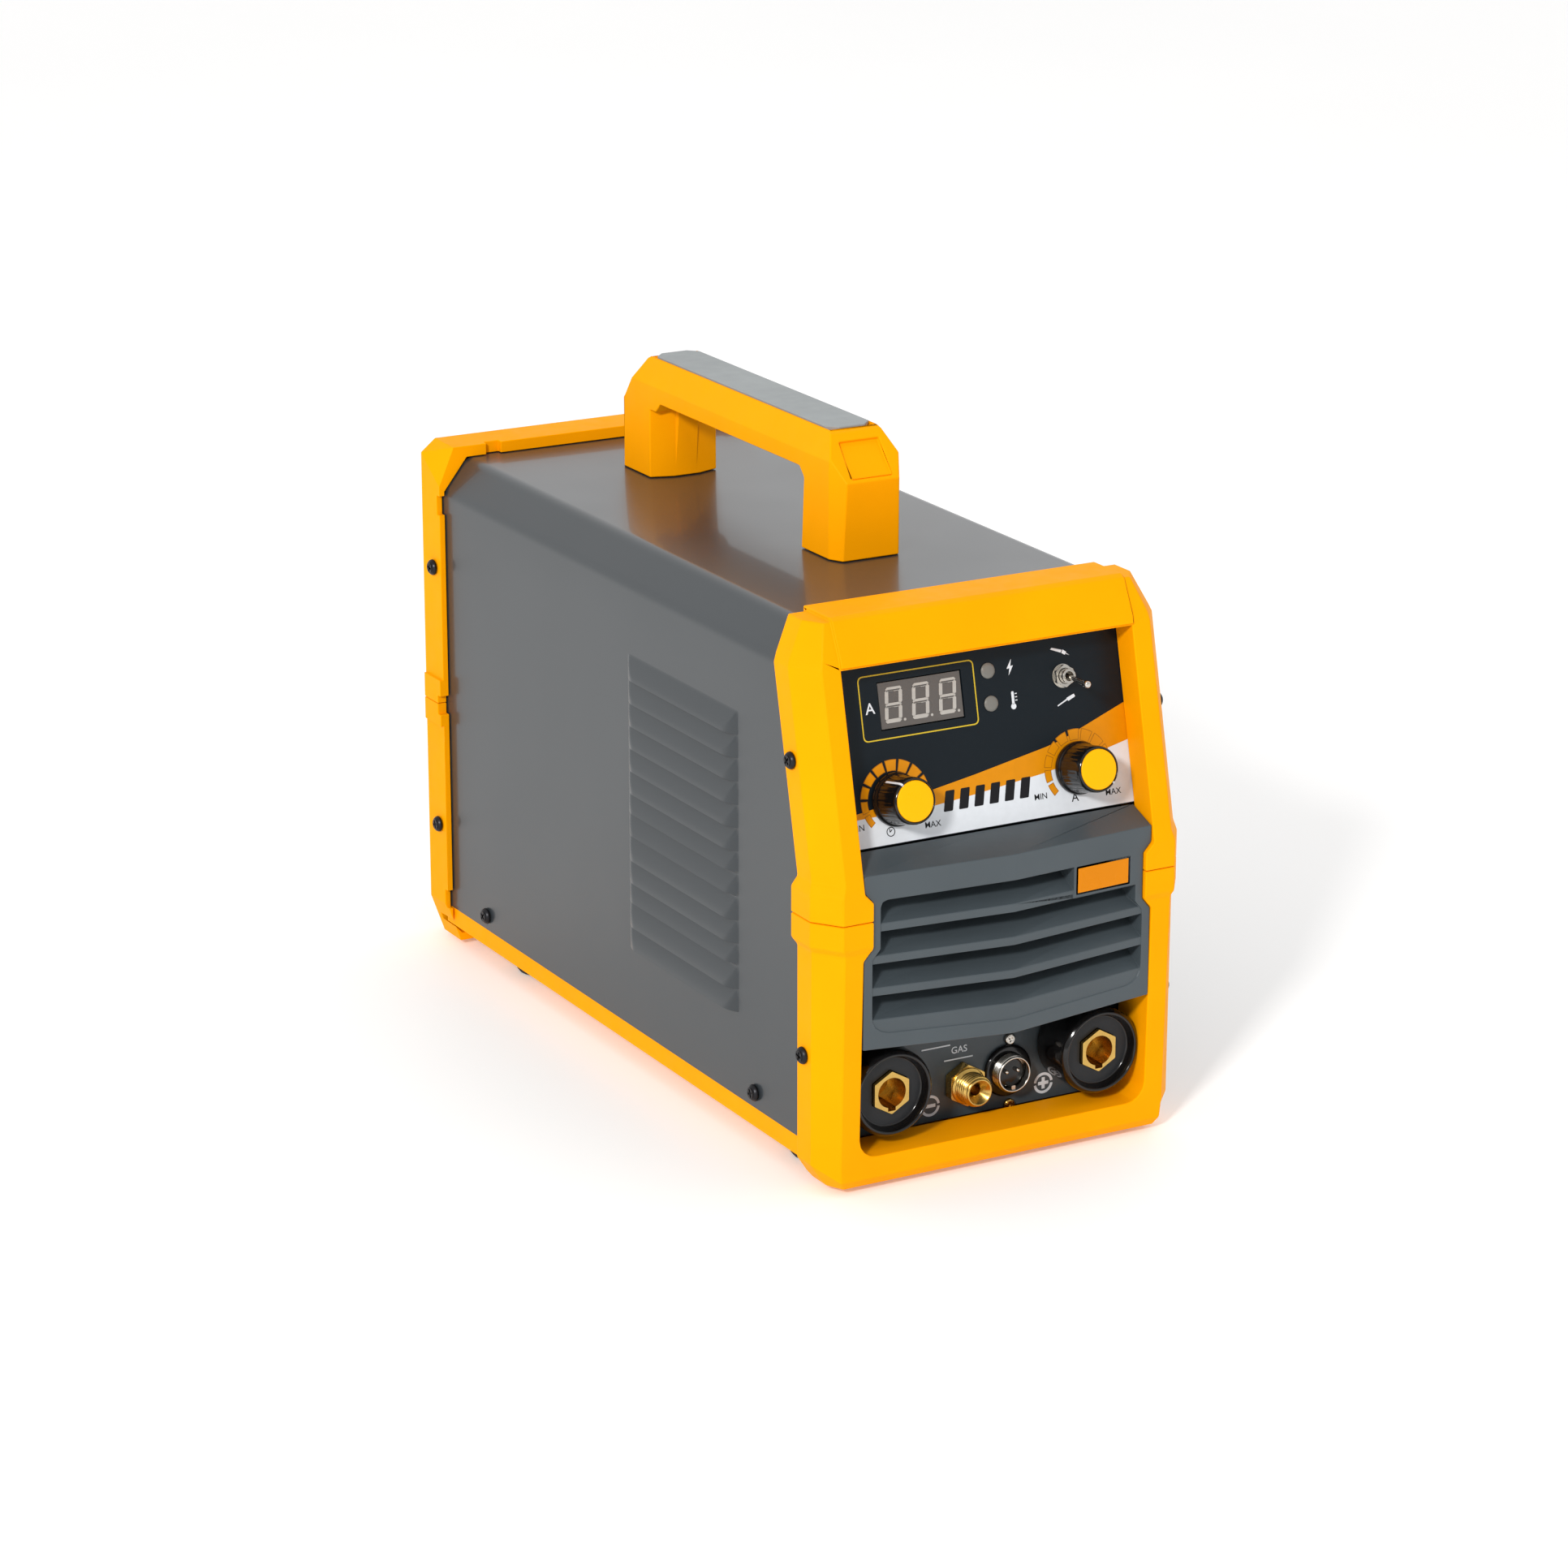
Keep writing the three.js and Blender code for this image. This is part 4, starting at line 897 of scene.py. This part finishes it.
def threaded(name, radius, low, high, pitch, material, place, depth=0.55, steps=64, inner=0.0, lead=0.8):
    """A rod or tube end with a helical thread between two heights."""
    rows = int((high - low) / (pitch / 8))
    profile = [(inner, low)] if inner == 0 else []
    profile += [(radius, low + (high - low) * k / rows) for k in range(rows + 1)]

    def cut(at, height, angle):
        phase = ((height - low) / pitch - angle / (2 * pi)) % 1.0
        groove = 1 - abs(2 * phase - 1)
        end = min(1.0, (high - height) / lead)
        return at - depth * (1 - min(1.0, groove * 1.35)) - (1 - end) * depth * 1.2 if at > inner else at

    return revolve(name, profile, material, place, steps, cut, 60)


def gas_outlet():
    place = Matrix.Translation((OUTLET["x"], CONNECTOR_FACE - 0.3, OUTLET["z"]))
    deep = -OUTLET["front"] + CONNECTOR_FACE - 0.3
    radius, bore = OUTLET["radius"], OUTLET["bore"]
    hexagon = plate("gas_outlet_hex", [hexagon_loop(8.9, 0.6), circle(4.5)], 0.1, 4.6, brass, place, 30)
    soften(hexagon, 0.5, 3)
    apply_modifiers(hexagon)
    collar = revolve("gas_outlet_collar", filleted([
        (4.5, 4.4), (7.6, 4.4), (7.6, 5.2), (6.0, 5.8), (6.0, 6.6), (4.5, 6.6),
    ], 0.3, 3), brass, place, 64)
    thread = threaded("gas_outlet_thread", radius, 5.6, deep - 0.6, 1.4, brass, place, 0.7, 72, 0.01)
    mouth = revolve("gas_outlet_mouth", filleted([
        (radius - 0.8, deep - 1.2), (radius - 0.55, deep - 0.5), (radius - 1.1, deep), (5.0, deep),
        (bore, deep - 3.6),
        (bore, deep - 12), (0, deep - 12),
    ], 0.35, 4), brass, place, 64)
    tail = revolve("gas_outlet_tail", [(0, -18), (4.6, -18), (4.6, 0.4), (0, 0.4)], brass, place, 40)
    fitting = joined("gas_outlet_fitting", [hexagon, collar, thread, mouth, tail])
    settle(fitting, "root", "brass", "gas_outlet")


def torch_socket():
    place = Matrix.Translation((TORCH["x"], CONNECTOR_FACE - 0.3, TORCH["z"]))
    deep = -TORCH["front"] + CONNECTOR_FACE - 0.3
    flange = revolve("torch_socket_flange", filleted([
        (7.4, 0.05), (10.8, 0.05), (10.9, 1.0), (10.2, 1.8), (8.4, 1.9), (7.4, 1.9),
    ], 0.35, 4), black, place, 96)
    settle(flange, "root", "black_plastic")
    thread = threaded("torch_socket_thread", 7.9, 1.6, deep - 0.7, 1.0, nickel, place, 0.42, 96, 0.0, 0.5)
    rim = revolve("torch_socket_rim", filleted([
        (7.45, deep - 1.0), (7.6, deep - 0.5), (7.3, deep), (6.8, deep), (6.6, deep - 0.4), (6.6, -5.9),
        (7.6, -5.9),
        (7.6, 1.8),
    ], 0.25, 4), nickel, place, 96)
    settle(joined("torch_socket_barrel", [thread, rim]), "root", "nickel", "torch_socket_shell")
    floor = 3.2
    core = revolve("torch_socket_insert", filleted([
        (0, -5.5), (6.2, -5.5), (6.2, floor - 0.4), (5.8, floor), (0, floor),
    ], 0.3, 3), black, place, 64)
    tongue = [rounded_box(-0.9, 0.9, -6.5, -4.9, 0.4)]
    key = plate("torch_socket_key", tongue, floor - 1, deep - 0.9, nickel, place)
    pins = []
    for i, dx in enumerate((-2.6, 2.6)):
        pins.append(revolve(f"torch_socket_pin_{i}", filleted([
            (0, floor - 1), (0.85, floor - 1), (0.85, floor + 1.5), (0.5, floor + 2.0), (0, floor + 2.1),
        ], 0.3, 4), nickel, place @ Matrix.Translation((dx, 0, 0.9)), 24))
    settle(joined("torch_socket_face", [core, key, *pins]), "root", "black_plastic", "torch_socket_core")
    for name, up, material in (("top", 13.1, nickel), ("bottom", -14.8, brass)):
        at = place @ Matrix.Translation((1.2, -0.1, up)) @ Matrix.Rotation(0.5, 4, "Y")
        settle(screw_head(f"torch_flange_screw_{name}", 2.5, 1.4, at, material), "root", "nickel")


def connector_marks():
    """Plus and minus rings, the gas label and its underline."""
    place = Matrix.Translation((0, CONNECTOR_FACE, 0))
    for name, x, z, plus in (("plus", 33.9, 19.6, True), ("minus", -18.9, 19.7, False)):
        loops = []
        for start in (0.13, pi + 0.13):
            loops.append(sector(3.35, 4.45, start, pi - 0.26, x, z, 24))
        bar = [(x - 2.4, z - 0.7), (x + 2.4, z - 0.7), (x + 2.4, z + 0.7), (x - 2.4, z + 0.7)]
        if plus:
            bar = [(x + a, z + b) for a, b in cross_recess(2.4, 0.7)]
        for i, loop in enumerate([*loops, bar]):
            settle(plate(f"mark_{name}_{i}", [loop], 0.0, 0.12, ink_white, place), "root", "panel_film")
    for i, (left, low) in enumerate(((-12.6, 37.2), (-23.1, 43.6))):
        under = [(left, low), (left + 13.2, low), (left + 13.2, low + 0.55), (left, low + 0.55)]
        settle(plate(f"mark_line_{i}", [under], 0.0, 0.12, ink_white, place), "root", "panel_film")
    settle(lettering("word_gas", "GAS", 4.0, -5.7, 41.2, ink_white, place, 0.0, 0.12), "root", "panel_film")


weld_socket("negative_socket", -SOCKET["x"])
weld_socket("positive_socket", SOCKET["x"])
gas_outlet()
torch_socket()
connector_marks()


# ---- floor and light ----
def studio():
    mesh = bpy.data.meshes.new("floor")
    size = 14.0
    corners = [(-size, -size, 0), (size, -size, 0), (size, size, 0), (-size, size, 0)]
    mesh.from_pydata(corners, [], [(0, 1, 2, 3)])
    floor = bpy.data.objects.new("floor", mesh)
    floor.location.z = -0.0002
    bpy.context.scene.collection.objects.link(floor)
    surface = Surface("floor_paper", (0.88, 0.875, 0.87), 0.6, shine=0.2)
    surface.mottle(1.5, 0.01)
    surface.shader.inputs["Emission Color"].default_value = (1, 1, 1, 1)
    surface.shader.inputs["Emission Strength"].default_value = 0.16
    mesh.materials.append(surface.material)
    world = bpy.data.worlds.new("studio")
    bpy.context.scene.world = world
    world.use_nodes = True
    tree = world.node_tree
    background = tree.nodes["Background"]
    background.inputs["Color"].default_value = (1.0, 1.0, 1.0, 1)
    along = tree.nodes.new("ShaderNodeVectorMath")
    along.operation = "DOT_PRODUCT"
    along.inputs[1].default_value = (0.46, 0.83, 0.3)
    spread = tree.nodes.new("ShaderNodeMapRange")
    spread.inputs["From Min"].default_value = -1.0
    spread.inputs["From Max"].default_value = 1.0
    spread.inputs["To Min"].default_value = 0.5
    spread.inputs["To Max"].default_value = 1.12
    tree.links.new(tree.nodes.new("ShaderNodeTexCoord").outputs["Generated"], along.inputs[0])
    tree.links.new(along.outputs["Value"], spread.inputs["Value"])
    tree.links.new(spread.outputs["Result"], background.inputs["Strength"])
    lamp("key", "AREA", (-15.7, -14.3, 11.5), 3.4, 0.36, 72, (1.0, 0.985, 0.96))
    bpy.context.scene.view_settings.view_transform = "Standard"


def lamp(name, kind, direction, distance, size, power, colour):
    data = bpy.data.lights.new(name, kind)
    data.energy = power
    data.color = colour
    data.size = size
    light = bpy.data.objects.new(name, data)
    towards = Vector(direction).normalized()
    light.location = Vector((0, 0, 0.11)) + towards * distance
    light.rotation_euler = (-towards).to_track_quat("-Z", "Y").to_euler()
    bpy.context.scene.collection.objects.link(light)


studio()
